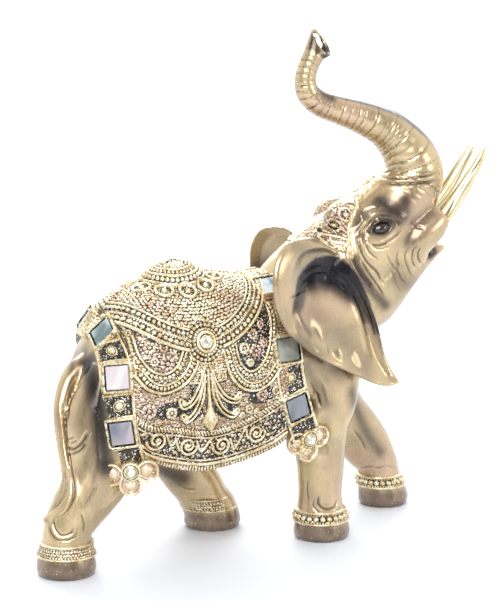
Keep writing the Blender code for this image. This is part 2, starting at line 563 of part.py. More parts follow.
def blanket_carving(x, v):
    """Height of the blanket's carving above its cloth, in units."""
    from_middle = np.hypot(x - SADDLE_MIDDLE[0], v - SADDLE_MIDDLE[1])
    height = np.where(from_middle < SADDLE_ROUND, SADDLE_LIFT, 0.0)
    height = np.where(from_middle < SADDLE_FIELD, FIELD_LIFT, height)
    for radius in (SADDLE_ROUND, SADDLE_FIELD):
        height = np.maximum(height, rope(np.abs(from_middle - radius), SADDLE_LIFT))
    below_saddle = from_middle > SADDLE_ROUND - SWAG_TUCK
    for place in SWAGS:
        away = np.hypot(x - place[0], v - place[1])
        swag = np.where((away > SWAG_INNER) & (away < SWAG_OUTER), SWAG_LIFT, 0.0)
        for radius in (SWAG_INNER, SWAG_OUTER):
            swag = np.maximum(swag, rope(np.abs(away - radius), SWAG_LIFT))
        height = np.where(below_saddle, np.maximum(height, swag), height)
    away = np.hypot(x - MEDALLION_PLACE[0], v - MEDALLION_PLACE[1])
    bulge = MEDALLION_STEEPNESS * (1 - (2 * away / MEDALLION_WIDTH) ** 2)
    height = np.maximum(height, MEDALLION_LIFT * np.clip(bulge, 0.0, 1.0))
    width = np.interp(v, *zip(*LANCE_WIDTHS))
    leaf = np.clip(LANCE_STEEPNESS - 2.0 * distance_to(smooth_line(LANCE), x, v) / width, 0.0, 1.0)
    height = np.maximum(height, LANCE_LIFT * leaf)
    over_rope = CURL_LIFT - ROPE_HEIGHT / UNIT
    for curl in CURLS:
        height = np.maximum(height, rope(distance_to(smooth_line(curl), x, v), over_rope))
    for line in [smooth_line(BAND_TOP), smooth_line(BAND_FOOT)] + scroll_vines():
        height = np.maximum(height, rope(distance_to(line, x, v)))
    for place in SCROLL_MIDDLES:
        height = np.maximum(height, rope(ring_distance(place, SCROLL_ROUND, x, v)))
    from_dome = np.hypot(x - DOME_MIDDLE_X, v - spine_at(x)) / DOME_REACH
    return height + DOME_HEIGHT * np.clip(1 - from_dome ** 2, 0.0, 1.0) ** DOME_POWER


def blanket_rings():
    """The blanket between the straps, from just over the spine to its hem."""
    x = np.linspace(BLANKET_START, BLANKET_END, 62)
    hem = smooth_line(HEM, 200)
    foot = np.interp(x, hem[:, 0], hem[:, 1])
    top = spine_at(x) - BLANKET_OVERLAP
    share = np.linspace(0.0, 1.0, 80)
    down = top[:, None] + (foot - top)[:, None] * share
    plan = np.stack([np.repeat(x[:, None], len(share), axis=1), down], axis=-1)
    return shell_rings(plan, CLOTH_THICKNESS / UNIT + blanket_carving(plan[..., 0], plan[..., 1]))


# Straps: middle line in the plan, then the v of each tile and of each stud, and the place of the pendant.
# The left haunch is further forward, so the left rear strap is too. The right haunch lifts its pendant.
STRAPS = {
    "rear": {"line": [(-68.2, 4.0), (-70.0, 15.0), (-70.8, 24.0), (-70.9, 36.0), (-71.3, 48.0), (-70.8, 60.0),
                      (-69.0, 72.0), (-68.2, 76.0)],
             "tiles": (20.2, 41.0, 62.5), "studs": (30.6, 51.6), "pendant": (-67.6, 77.6),
             "forward": {"right": 0.0, "left": 9.0}, "pendant_lift": {"right": 3.4, "left": 0.0}},
    "front": {"line": [(-1.7, 3.0), (-1.2, 18.0), (-1.2, 30.0), (-0.8, 42.0), (0.2, 52.0), (3.2, 64.0),
                       (6.4, 73.5), (7.8, 77.5)],
              "tiles": (12.8, 40.0, 64.2), "studs": (26.6, 51.4), "pendant": (9.4, 79.4),
              "forward": {"right": 0.0, "left": 0.0}, "pendant_lift": {"right": 0.0, "left": 0.0}},
}
# The forward shift of a strap grows from nothing to its full size between these two heights of the plan.
FORWARD_FROM = 16.0
FORWARD_TO = 38.0
PENDANT_LOBES = [(-5.2, 0.6), (5.2, 0.6), (0.0, 5.4)]
# The lobes stand this much lower than the collar, and both are drawn in to this share of their width.
LOBE_DROP = 0.9
PENDANT_TOP_SHARE = 0.8
# A tile's seat is sunk this far into its strap, and a stone's by this share of the stone's height.
TILE_SINK = 1.0
TILE_FLOOR = STRAP_THICKNESS / UNIT - TILE_SINK
STONE_SINK = 0.45
STONE_TABLE_SHARE = 0.6
STONE_SIDES = 12


def strap_line(strap, word, steps=60):
    line = smooth_line(STRAPS[strap]["line"], steps)
    share = np.clip((line[:, 1] - FORWARD_FROM) / (FORWARD_TO - FORWARD_FROM), 0.0, 1.0)
    line[:, 0] += STRAPS[strap]["forward"][word] * share
    return line


def stretch_at(x, v):
    """How much longer a step along x is on the flank than in the plan."""
    return np.sqrt(1 + look_up(SLOPE_XY, x, v) ** 2 + look_up(SLOPE_XZ, x, v) ** 2)


def strap_side_rings(strap, word, steps=40):
    """A strap of the left flank from beside the spine to its foot, with a raised rail along each edge."""
    line = strap_line(strap, word, steps)
    ahead = np.gradient(line, axis=0)
    ahead /= np.linalg.norm(ahead, axis=1)[:, None]
    sideways = np.stack([ahead[:, 1], -ahead[:, 0]], axis=1)
    sideways[:, 0] /= stretch_at(line[:, 0], line[:, 1])
    edge, rail = STRAP_WIDTH / UNIT / 2, STRAP_RAIL_WIDTH / UNIT
    low = STRAP_THICKNESS / UNIT - STRAP_RAIL_HEIGHT / UNIT
    high = STRAP_THICKNESS / UNIT
    rail_section = [(edge, low), (edge - 0.4 * rail, high), (edge - rail, high), (edge - 1.4 * rail, low)]
    profile = np.array([(-across, lift) for across, lift in rail_section] + rail_section[::-1])
    plan = line[:, None, :] + sideways[:, None, :] * profile[None, :, :1]
    return shell_rings(plan, np.repeat(profile[None, :, 1], len(line), axis=0))


def strap_rings(strap):
    """A whole strap, from its right foot up over the spine and down to its left foot."""
    right = moved(RIGHT_SIDE, strap_side_rings(strap, "right"))
    return np.concatenate([right[::-1], strap_side_rings(strap, "left")])


def placed(point, across, down, out, side):
    """Matrix of something set on the left flank, taken to its side: X across it, Y down it, Z outwards."""
    axes = np.stack([across, down, out, point], axis=1)
    return side @ Matrix([*axes.tolist(), (0.0, 0.0, 0.0, 1.0)])


def strap_place(strap, v, word):
    """Matrix of something set on a strap, turned with the strap."""
    line = strap_line(strap, word, 240)
    i = int(np.clip(np.argmin(np.abs(line[:, 1] - v)), 1, len(line) - 2))
    point, forth, down, out = flank_frame(line[i, 0], line[i, 1])
    step = line[i + 1] - line[i - 1]
    lean = math.atan2(step[0] * float(stretch_at(line[i, 0], line[i, 1])), step[1])
    across = forth * math.cos(lean) - down * math.sin(lean)
    return placed(point, across, down * math.cos(lean) + forth * math.sin(lean), out, SIDES[word])


def plan_place(x, v, word):
    """Matrix of something set on the flank at a place of the plan."""
    return placed(*flank_frame(x, v), SIDES[word])


def tile_places():
    """Every tile's name and place."""
    for word in SIDES:
        for strap, parts in STRAPS.items():
            for number, v in enumerate(parts["tiles"], 1):
                yield f"mirror_tile_{strap}_{number}_{word}", strap_place(strap, v, word)


def pendant_places():
    """Every pendant's strap and side, the plan position of its middle, and how high it stands."""
    for word in SIDES:
        for strap, parts in STRAPS.items():
            x, v = parts["pendant"]
            top = PENDANT_THICKNESS / UNIT + parts["pendant_lift"][word]
            yield strap, word, x + parts["forward"][word], v, top


def stone_places():
    """Every stone's name, place, width, height and the height of its seat's floor above the flank."""
    width, height = STONE_WIDTH / UNIT, STONE_HEIGHT / UNIT
    top = CLOTH_THICKNESS / UNIT + MEDALLION_LIFT
    for word in SIDES:
        place = plan_place(*MEDALLION_PLACE, word)
        yield f"rhinestone_saddle_{word}", place, width, height, top - STONE_SINK * height
    width, height = PENDANT_STONE_WIDTH / UNIT, PENDANT_STONE_HEIGHT / UNIT
    for strap, word, x, v, top in pendant_places():
        place = plan_place(x, v, word)
        yield f"rhinestone_{strap}_pendant_{word}", place, width, height, top - STONE_SINK * height


def leg_at(leg, z):
    """Middle and half widths of a leg at a height."""
    rows = along(LEGS[leg], 200)
    rows = rows[np.argsort(rows[:, 2])]
    return [float(np.interp(z, rows[:, 2], rows[:, k])) for k in (0, 1, 3, 4)]


def add_anklets(bm):
    """The bands round the ankles and the swirl bosses above them."""
    turn = np.linspace(0.0, 2 * math.pi, 32, endpoint=False)
    tall, proud = ANKLET_HEIGHT / UNIT, ANKLET_PROUD / UNIT
    for leg, z in ANKLETS:
        rings = []
        for share, lift in ANKLET_SECTION:
            level = z + share * tall
            x, y, fore, across = leg_at(leg, level)
            rings.append(np.stack([x + (fore + lift * proud) * np.cos(turn),
                                   y + (across + lift * proud) * np.sin(turn),
                                   np.full_like(turn, level)], axis=1))
        add_loft(bm, rings)
    for leg, z, facing in BOSSES:
        x, y, fore, across = leg_at(leg, z)
        way = math.radians(facing)
        middle = (x + fore * math.cos(way), y + across * math.sin(way), z)
        facing_out = Matrix.Rotation(way, 4, "Z") @ Matrix.Rotation(math.pi / 2, 4, "Y")
        halves = (BOSS_WIDTH / 2, BOSS_WIDTH / 2, BOSS_PROUD)
        add_ball(bm, Matrix.Translation(middle) @ facing_out, (0.0, 0.0, 0.0), halves)


def carved_body():
    """All of the casting that is modelled by hand: animal, blanket, head cloth and anklets."""
    bm = bmesh.new()
    add_loft(bm, torso_rings())
    add_loft(bm, trunk_and_head_rings())
    add_loft(bm, swept(in_plane(JAW), 24), HEAD_PLACE)
    for rows in LEGS.values():
        add_loft(bm, swept(rows, 34))
    add_loft(bm, swept(round_rows(TAIL), 40, 14))
    for side in SIDES.values():
        for lump in HEAD_LUMPS:
            add_ball(bm, HEAD_PLACE @ side, lump[:3], lump[3:])
        add_loft(bm, swept(round_rows(SHEATH), 12), HEAD_PLACE @ side)
        add_loft(bm, swept(round_rows(TUSK), 24, 16), HEAD_PLACE @ side)
        add_loft(bm, blanket_rings(), side)
    add_head_cloth(bm)
    add_loft(bm, ear_rings(ear_sheet()))
    add_loft(bm, ear_rings(far_ear_sheet()), RIGHT_SIDE)
    for strap in STRAPS:
        add_loft(bm, strap_rings(strap))
    add_anklets(bm)
    return bm


def tile_frames():
    bm = bmesh.new()
    top = TILE_FLOOR + (TILE_THICKNESS + FRAME_LIP) / UNIT
    for _, place in tile_places():
        add_block(bm, place, STRAP_WIDTH / UNIT / 2, -ROOT, top)
    return bm


def studs():
    bm = bmesh.new()
    half = STUD_WIDTH / UNIT / 2
    middle = (0.0, 0.0, (STRAP_THICKNESS - STRAP_RAIL_HEIGHT) / UNIT)
    for word in SIDES:
        for strap, parts in STRAPS.items():
            for v in parts["studs"]:
                add_ball(bm, strap_place(strap, v, word), middle, (half, half, STUD_HEIGHT / UNIT), 8)
    return bm


def pendants():
    """Three round lobes about a collar that holds the stone."""
    bm = bmesh.new()
    for _, word, x, v, top in pendant_places():
        width = PENDANT_COLLAR_WIDTH / UNIT
        add_disc(bm, plan_place(x, v, word), width, -ROOT, top, PENDANT_TOP_SHARE)
        width = PENDANT_LOBE_WIDTH / UNIT
        for across, down in PENDANT_LOBES:
            place = plan_place(x + across, v + down, word)
            add_disc(bm, place, width, -ROOT, top - LOBE_DROP, PENDANT_TOP_SHARE)
    return bm


def trunk_hollow():
    bm = bmesh.new()
    across = TIP_HOLLOW_SHARE * TIP_HALF_LONG, TIP_HOLLOW_SHARE * TIP_HALF_SHORT
    add_disc(bm, tip_place() @ Matrix.Diagonal((*across, -1.0, 1.0)), 2.0, -CUTTER_REACH, TIP_DEPTH,
             TIP_HOLLOW_FLOOR_SHARE)
    return bm


def tile_seats():
    bm = bmesh.new()
    gap = GLUE_GAP / UNIT
    for _, place in tile_places():
        add_block(bm, place, TILE_SIDE / UNIT / 2 + gap, TILE_FLOOR - gap, TILE_FLOOR + CUTTER_REACH)
    return bm


def stone_seats():
    bm = bmesh.new()
    gap = GLUE_GAP / UNIT
    for _, place, width, _, floor in stone_places():
        seat = width + 2 * gap / math.cos(math.pi / STONE_SIDES)
        add_disc(bm, place, seat, floor - gap, floor + CUTTER_REACH, sides=STONE_SIDES)
    return bm


def floor_below():
    bm = bmesh.new()
    add_block(bm, LEFT_SIDE, HEIGHT_IN_UNITS, -HEIGHT_IN_UNITS, 0.0)
    return bm


def object_from(bm, name, group):
    """An object in the row's frame and in metres, from a bmesh in units."""
    bmesh.ops.recalc_face_normals(bm, faces=bm.faces)
    bm.transform(Matrix.Scale(UNIT, 4) @ Matrix.Translation((*TO_CENTRE, 0.0)))
    mesh = bpy.data.meshes.new(name)
    bm.to_mesh(mesh)
    bm.free()
    obj = bpy.data.objects.new(name, mesh)
    group.objects.link(obj)
    return obj


def paint(name, colour, roughness, metallic):
    material = bpy.data.materials.new(name)
    material.use_nodes = True
    shader = material.node_tree.nodes["Principled BSDF"]
    shader.inputs["Base Color"].default_value = (*colour, 1.0)
    shader.inputs["Roughness"].default_value = roughness
    shader.inputs["Metallic"].default_value = metallic
    return material


def clear_scene():
    for obj in list(bpy.data.objects):
        bpy.data.objects.remove(obj, do_unlink=True)


def collection(name):
    made = bpy.data.collections.new(name)
    bpy.context.scene.collection.children.link(made)
    return made


def triangles_of(obj):
    """How many triangles an object has after its modifiers."""
    mesh = obj.evaluated_get(bpy.context.evaluated_depsgraph_get()).to_mesh()
    mesh.calc_loop_triangles()
    return len(mesh.loop_triangles)


def boolean(obj, operation, bm, name, cutters):
    """Join a tool's shape to an object or cut it out of the object."""
    tool = object_from(bm, name, cutters)
    tool.hide_render = True
    tool.display_type = "WIRE"
    step = obj.modifiers.new(name, "BOOLEAN")
    step.operation = operation
    step.solver = "EXACT"
    step.use_self = True
    step.object = tool


def casting(parts, cutters):
    obj = object_from(carved_body(), "elephant_casting", parts)
    obj.data.materials.append(paint("bronze gold lacquer", (0.42, 0.29, 0.13), 0.35, 0.8))
    melt = obj.modifiers.new("one body", "REMESH")
    melt.mode = "VOXEL"
    melt.voxel_size = GRAIN * UNIT
    ease = obj.modifiers.new("soften", "SMOOTH")
    ease.factor = 0.5
    ease.iterations = 2
    thin = obj.modifiers.new("fewer faces", "DECIMATE")
    bpy.context.view_layer.update()
    thin.ratio = BODY_TRIANGLES / triangles_of(obj)
    boolean(obj, "UNION", tile_frames(), "tile_frames", cutters)
    boolean(obj, "UNION", studs(), "studs", cutters)
    boolean(obj, "UNION", pendants(), "pendants", cutters)
    boolean(obj, "DIFFERENCE", trunk_hollow(), "trunk_hollow", cutters)
    boolean(obj, "DIFFERENCE", tile_seats(), "tile_seats", cutters)
    boolean(obj, "DIFFERENCE", stone_seats(), "stone_seats", cutters)
    boolean(obj, "DIFFERENCE", floor_below(), "floor_below", cutters)


def tiles(parts):
    glass = paint("mirror glass", (0.8, 0.82, 0.84), 0.03, 1.0)
    for name, place in tile_places():
        bm = bmesh.new()
        add_block(bm, place, TILE_SIDE / UNIT / 2, TILE_FLOOR, TILE_FLOOR + TILE_THICKNESS / UNIT)
        object_from(bm, name, parts).data.materials.append(glass)


def stones(parts):
    """Flat-backed stones: one slope from the edge to a flat table."""
    crystal = paint("clear rhinestone", (0.9, 0.9, 0.88), 0.05, 0.3)
    for name, place, width, height, floor in stone_places():
        bm = bmesh.new()
        add_disc(bm, place, width, floor, floor + height, STONE_TABLE_SHARE, STONE_SIDES)
        object_from(bm, name, parts).data.materials.append(crystal)


clear_scene()
PARTS = collection("elephant_figurine")
CUTTERS = collection("cutters")
casting(PARTS, CUTTERS)
tiles(PARTS)
stones(PARTS)
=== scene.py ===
"""Elephant figurine with its trunk raised: a resin casting in bronze-gold lacquer, with mirror tiles,
rhinestones and an ornamented blanket. The forms are given in millimetres of the figure and moved into the CAD
part's frame."""
import math

import bmesh
import bpy
import numpy as np
from mathutils import Matrix, Vector
from mathutils.bvhtree import BVHTree


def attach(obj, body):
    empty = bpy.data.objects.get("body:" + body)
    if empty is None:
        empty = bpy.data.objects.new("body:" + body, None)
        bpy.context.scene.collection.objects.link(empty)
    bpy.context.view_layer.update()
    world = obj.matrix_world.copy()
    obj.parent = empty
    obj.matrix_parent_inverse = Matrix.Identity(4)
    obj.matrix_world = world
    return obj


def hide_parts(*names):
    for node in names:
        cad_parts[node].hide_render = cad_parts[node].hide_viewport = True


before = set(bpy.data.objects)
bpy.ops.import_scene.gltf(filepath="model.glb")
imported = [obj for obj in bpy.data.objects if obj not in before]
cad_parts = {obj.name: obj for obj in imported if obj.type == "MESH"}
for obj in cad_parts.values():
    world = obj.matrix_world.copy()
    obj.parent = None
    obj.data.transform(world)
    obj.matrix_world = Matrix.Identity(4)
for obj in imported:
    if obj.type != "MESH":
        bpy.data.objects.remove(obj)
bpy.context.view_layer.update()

# Camera. A long lens about 0.8 m away, a little above the figure and behind its right shoulder, as in the
# photograph. Places on the figure that are read off the photograph are found with the same camera.
view_azimuth, view_height, view_distance = math.radians(-26.0), math.radians(10.0), 0.8
view_target = Vector((-0.0117, -0.0255, 0.104))
focal_pixels, frame_width, frame_height, sensor_height = 2000.0, 500, 601, 36.0
to_camera = Vector((math.sin(view_azimuth) * math.cos(view_height),
                    -math.cos(view_azimuth) * math.cos(view_height), math.sin(view_height)))
to_right = Vector((math.cos(view_azimuth), math.sin(view_azimuth), 0.0))
to_top = to_camera.cross(to_right)
camera = bpy.data.objects.new("camera", bpy.data.cameras.new("camera"))
camera.data.sensor_fit = "VERTICAL"
camera.data.sensor_height = sensor_height
camera.data.lens = focal_pixels * sensor_height / frame_height
camera.data.clip_start = 0.01
camera_place = Matrix((to_right, to_top, to_camera)).transposed().to_4x4()
camera_place.translation = view_target + to_camera * view_distance
camera.matrix_world = camera_place
bpy.context.scene.collection.objects.link(camera)
bpy.context.scene.camera = camera

# The animal. In the real piece it is one resin casting from a silicone mould: body, legs, trunk, ears, tail.
# The form is lofted from a few sections, melted into one skin, and its wrinkles are then pressed into it.
skin_grain = 0.62
skin_triangles = 194000
centre = np.array([2.8, -2.5, 0.0])

# Rows of the torso are x, z, half width, reach up and reach down. Those of the head and the jaw are x, z and
# two half widths. The others are x, y, z and half widths, and the ear's two lines are places only.
torso = [
    (-85, 64, 6, 6, 8), (-82, 65, 12.5, 11, 15), (-77, 67, 18.8, 17, 21),
    (-70.5, 69, 24.5, 24.5, 26.5), (-62, 70, 27.8, 33, 29), (-50, 71, 28.6, 37, 30),
    (-36, 71, 28.8, 39, 30), (-20, 72, 28.4, 37.5, 29.5), (-6, 73, 28, 34.5, 28.5),
    (8, 75, 27.5, 34, 27.5), (20, 77, 26, 32, 26), (32, 78.5, 23.5, 28, 24),
    (41, 79, 19.5, 23, 20), (47, 79.5, 13, 16, 14), (49.5, 80, 6, 8, 7),
]
torso_fullness = 2.3
legs = {
    "hind_right": [
        (-64, -12.5, 76, 15, 12.5), (-71, -14, 61, 17.6, 11.8), (-74, -16, 48, 16.4, 11.6),
        (-77.5, -17.3, 39, 13.8, 11.6), (-83.5, -17.8, 30.5, 11.9, 10.8), (-88.5, -18, 24, 10.6, 10.2),
        (-91.5, -18, 18.5, 9.7, 9.6), (-92.3, -18, 12.5, 9.9, 9.8), (-92.6, -18, 6.5, 11.4, 11.2),
        (-92.8, -18, 2, 11.6, 11.4), (-93, -18, -1.6, 10.6, 10.4),
    ],
    "hind_left": [
        (-56, 13, 74, 17, 14), (-50, 15, 58, 16.5, 13.5), (-40, 16.5, 44, 13.8, 12.4),
        (-30.5, 17.6, 33, 11.2, 11.2), (-24.4, 18, 24.8, 10.9, 10.8), (-19.5, 18, 18.5, 10.7, 10.6),
        (-16.3, 18, 12.5, 10.6, 10.5), (-13.6, 18, 7.5, 11.6, 11.4), (-12.6, 18, 2.5, 12, 11.7),
        (-12.4, 18, -1.6, 10.9, 10.6),
    ],
    "fore_right": [
        (20, -12, 86, 17, 14), (24.5, -15, 72, 14.5, 13), (24, -16.5, 59, 12.9, 12),
        (21.2, -17, 50, 11.6, 11.4), (20.6, -17, 40, 10.9, 10.8), (21, -17, 30, 9.8, 9.8),
        (20.9, -17, 20, 9, 9.2), (20.9, -17, 14, 9.4, 9.6), (21.4, -17, 8, 11, 10.8),
        (21.7, -17, 2.5, 11.7, 11.4), (21.9, -17, -1.6, 10.7, 10.4),
    ],
    "fore_left": [
        (26, 12, 84, 17, 14), (33, 14.5, 68, 15, 13.4), (41, 16, 55, 13.4, 12.4),
        (47.6, 16.6, 44.5, 12, 11.6), (55.4, 17, 35.5, 11.6, 11), (62, 17, 27, 11, 10.4),
        (67.2, 17, 19, 9.2, 9.4), (68.6, 17, 13, 9.2, 9.4), (69.8, 17, 7.5, 10.4, 10.4),
        (70.8, 17, 2.5, 11, 10.8), (71.4, 17, -1.6, 10, 9.8),
    ],
}
head_and_trunk = [
    (13, 93, 20, 18.5), (21.5, 100.5, 21.5, 20), (31, 108.5, 21.6, 20.6), (41, 117, 20.5, 20),
    (50, 125.5, 18.2, 18.2), (57.5, 133, 15.4, 16.2), (64, 139.8, 14, 14.6), (68.3, 145.6, 13.4, 13.6),
    (69.6, 151.1, 12.2, 12.3), (67.2, 157.4, 11.2, 11.4), (62.4, 163.8, 9.6, 9.8), (56, 169.2, 8.3, 8.5),
    (45.8, 173.8, 7, 7.2), (34.8, 177.4, 5.9, 6.2), (27.6, 180, 5.4, 5.6), (22.7, 184, 4.9, 5),
    (21.4, 190, 4.4, 4.5), (22.9, 195.4, 4.2, 4.3), (25, 199.8, 4.4, 4.4),
]
tip_middle, tip_faces, tip_long = (28.4, -1.6, 204.9), (0.50, -0.66, 0.56), (-0.36, 0.44, 0.82)
tip_half_long, tip_half_short, tip_depth = 6.9, 4.5, 6.0
jaw = [
    (28, 92.5, 19, 18), (38, 100, 20.5, 18.4), (49, 105.5, 20, 16.4), (58, 109.2, 16, 13.4),
    (66, 112, 10.5, 9.6), (72.5, 114.4, 6.4, 6.6), (78.5, 116.7, 3.2, 4.4), (83, 118.2, 1.3, 2.2),
]
sheath = [(52, 5, 113, 4), (60, 7.2, 118.2, 7.8), (68, 8.8, 123.8, 8), (74.5, 9, 128.6, 6.6),
          (79.4, 8.6, 133.6, 4.6)]
head_lumps = [(38.5, 6, 129.5, 10.5, 9.5, 10.8), (48, 13.4, 134, 6.4, 4, 4.2),
              (62, 6, 118, 12, 9.6, 9), (74, 0, 123, 6.5, 8, 6)]
tail = [
    (-74, 0, 80, 5.2), (-81, -2, 77, 4.6), (-86.2, -4.5, 72, 3.7), (-89.8, -7.6, 63, 3.2),
    (-90.2, -11, 51, 3), (-89.8, -14.6, 42.2, 3.1), (-89.6, -17.6, 33.5, 3.5), (-91.6, -18.4, 28, 3.8),
    (-95.6, -18, 24.4, 3.1), (-101.2, -17, 21.6, 1.7),
]
ear_front = [
    (25.5, -19, 120.6), (30, -20, 113), (35.5, -21, 106), (40.4, -22, 99),
    (43.6, -23.5, 89.5), (45.6, -25, 79), (47.8, -26.5, 72.4), (50.2, -28, 67.2),
]
ear_back = [
    (21, -21, 124.2), (10, -25, 128.8), (-3.6, -31, 127.6), (-10.2, -35, 121.4), (-12.2, -37, 113),
    (-10.8, -37.5, 102.8), (-6.6, -37, 94.2), (-0.4, -36, 88), (7.8, -35, 81.6), (19, -34, 75.8),
    (28, -33, 71.4), (36.4, -32, 67.2), (44.6, -31, 64.8), (50, -29.4, 65.4),
]
mirror = np.array([1.0, -1.0, 1.0])
head_turn, head_pivot = 10.0, 15.0
tip_facing = np.array(tip_faces) / np.linalg.norm(tip_faces)


def along(rows, steps):
    """A smooth curve through rows, evenly spaced by the distance of their first three columns."""
    given = np.asarray(rows, float)
    padded = np.vstack([2 * given[0] - given[1], given, 2 * given[-1] - given[-2]])
    t = np.linspace(0.0, 1.0, 24, endpoint=False)[:, None]
    fine = []
    for a, b, c, d in zip(padded[:-3], padded[1:-2], padded[2:-1], padded[3:]):
        fine.append(0.5 * (2 * b + (c - a) * t + (2 * a - 5 * b + 4 * c - d) * t ** 2
                           + (3 * b - a - 3 * c + d) * t ** 3))
    fine = np.vstack(fine + [given[-1:]])
    reach = np.concatenate([[0.0], np.cumsum(np.linalg.norm(np.diff(fine[:, :3], axis=0), axis=1))])
    even = np.linspace(0.0, reach[-1], steps)
    return np.stack([np.interp(even, reach, column) for column in fine.T], axis=1)


def unit(vectors):
    """Vectors made one long."""
    return vectors / np.linalg.norm(vectors, axis=-1, keepdims=True)


def full_turn(count):
    """Angles spaced evenly round a circle."""
    return np.linspace(0.0, 2 * math.pi, count, endpoint=False)


def swell(value, middle, spread):
    """A soft rise from 0 to 1 about a middle."""
    return np.exp(-((value - middle) / spread) ** 2)


def soft_step(value, start, end):
    """0 before start, 1 after end, and smooth between them."""
    t = np.clip((value - start) / (end - start), 0.0, 1.0)
    return t * t * (3 - 2 * t)


def tube(rows, steps, sides=40):
    """Rings round a path of rows x, y, z, half width in the upright plane, half width across."""
    rows = along(rows, steps)
    path = rows[:, :3]
    ahead = unit(np.gradient(path, axis=0))
    across = unit(np.array([0.0, 1.0, 0.0]) - ahead * ahead[:, 1:2])
    inplane = np.cross(across, ahead)
    turn = full_turn(sides)
    return (path[:, None, :] + inplane[:, None, :] * (rows[:, 3, None] * np.cos(turn))[:, :, None]
            + across[:, None, :] * (rows[:, -1, None] * np.sin(turn))[:, :, None])


def head_turned(points, degrees=head_turn):
    """Points of the head's own frame, turned with the head, which looks a little to the animal's right."""
    points = np.array(points, float)
    cos, sin = math.cos(math.radians(degrees)), math.sin(math.radians(degrees))
    x, y = points[..., 0] - head_pivot, points[..., 1].copy()
    points[..., 0] = head_pivot + x * cos + y * sin
    points[..., 1] = y * cos - x * sin
    return points


def across_head(points):
    """The same places on the other side of the turned head."""
    return head_turned(head_turned(points, -head_turn) * mirror)


def skin_of(grids):
    """Vertices and faces of closed skins through grids of rings, each with a fan at both ends."""
    verts, faces, base = [], [], 0
    for rings in grids:
        rings = np.asarray(rings, float)
        count, sides = rings.shape[:2]
        index = base + np.arange(count * sides).reshape(count, sides)
        nxt = np.roll(index, -1, axis=1)
        quads = np.stack([index[:-1], nxt[:-1], nxt[1:], index[1:]], axis=-1)
        faces += quads.reshape(-1, 4).tolist()
        first, last = base + count * sides, base + count * sides + 1
        faces += [(first, k, j) for j, k in zip(index[0], nxt[0])]
        faces += [(last, j, k) for j, k in zip(index[-1], nxt[-1])]
        verts += [rings.reshape(-1, 3), rings[0].mean(axis=0)[None], rings[-1].mean(axis=0)[None]]
        base = last + 1
    return np.vstack(verts), faces


def piece_from(name, verts, faces, smooth=True, turn_out=True):
    """An object in the part's frame, from points in millimetres of the figure."""
    mesh = bpy.data.meshes.new(name)
    mesh.from_pydata((np.asarray(verts, float) + centre) / 1000.0, [], faces)
    if turn_out:
        bm = bmesh.new()
        bm.from_mesh(mesh)
        bmesh.ops.recalc_face_normals(bm, faces=bm.faces)
        bm.to_mesh(mesh)
        bm.free()
    mesh.polygons.foreach_set("use_smooth", [smooth] * len(mesh.polygons))
    piece = bpy.data.objects.new(name, mesh)
    bpy.context.scene.collection.objects.link(piece)
    return piece


def points_of(mesh):
    """A mesh's points, in millimetres of the figure."""
    flat = np.empty(len(mesh.vertices) * 3)
    mesh.vertices.foreach_get("co", flat)
    return flat.reshape(-1, 3) * 1000.0 - centre


def applied(piece):
    """The piece with its modifiers turned into mesh."""
    made = bpy.data.meshes.new_from_object(piece.evaluated_get(bpy.context.evaluated_depsgraph_get()))
    piece.modifiers.clear()
    old, piece.data = piece.data, made
    bpy.data.meshes.remove(old)
    return made


def ball(middle, halves):
    """Rings of an ellipsoid."""
    tilt = np.linspace(0.08, math.pi - 0.08, 15)[:, None]
    turn = full_turn(28)[None, :]
    return np.stack([middle[0] + halves[0] * np.sin(tilt) * np.cos(turn),
                     middle[1] + halves[1] * np.sin(tilt) * np.sin(turn),
                     middle[2] + halves[2] * np.cos(tilt) * np.ones_like(turn)], axis=-1)


def both_sides(rings):
    """A form and its mirror image."""
    return [rings, np.asarray(rings) * mirror]


def torso_rings():
    """Rings of the body, fuller than an oval, higher above their middle than they are deep below it."""
    turn = full_turn(72)
    cos, sin, power = np.cos(turn), np.sin(turn), 2.0 / torso_fullness
    rings = []
    for x, middle, half, above, underside_shade in along(torso, 80):
        reach = np.where(cos > 0, above, underside_shade)
        rings.append(np.stack([np.full_like(turn, x), half * np.sign(sin) * np.abs(sin) ** power,
                               middle + reach * np.sign(cos) * np.abs(cos) ** power], axis=1))
    return np.array(rings)


def trunk_rings():
    """Head and trunk up to the trunk's mouth, over its lip and a little way back inside."""
    stem = head_turned(tube([(x, 0.0, z, a, b) for x, z, a, b in head_and_trunk], 150))
    long_way = np.array(tip_long) - tip_facing * np.dot(tip_long, tip_facing)
    long_way /= np.linalg.norm(long_way)
    short_way = np.cross(tip_facing, long_way)
    turn = full_turn(stem.shape[1])
    oval = np.outer(np.cos(turn), long_way) * tip_half_long
    oval += np.outer(np.sin(turn), short_way) * tip_half_short
    ways = [(flip, shift) for flip in (1, -1) for shift in range(len(turn))]
    flip, shift = min(ways, key=lambda way: np.sum((np.roll(oval[::way[0]], way[1], axis=0) + tip_middle
                                                    - stem[-1]) ** 2))
    oval = np.roll(oval[::flip], shift, axis=0)
    lip = oval + tip_middle
    inside = [oval * share + tip_middle - tip_facing * tip_depth * deep
              for share, deep in ((0.99, -0.04), (0.86, -0.06), (0.76, 0.05), (0.68, 0.4), (0.5, 0.9))]
    joint = [stem[-1] * (1 - share) + lip * share for share in (0.25, 0.5, 0.75)]
    return np.array([*stem, *joint, lip, *inside])


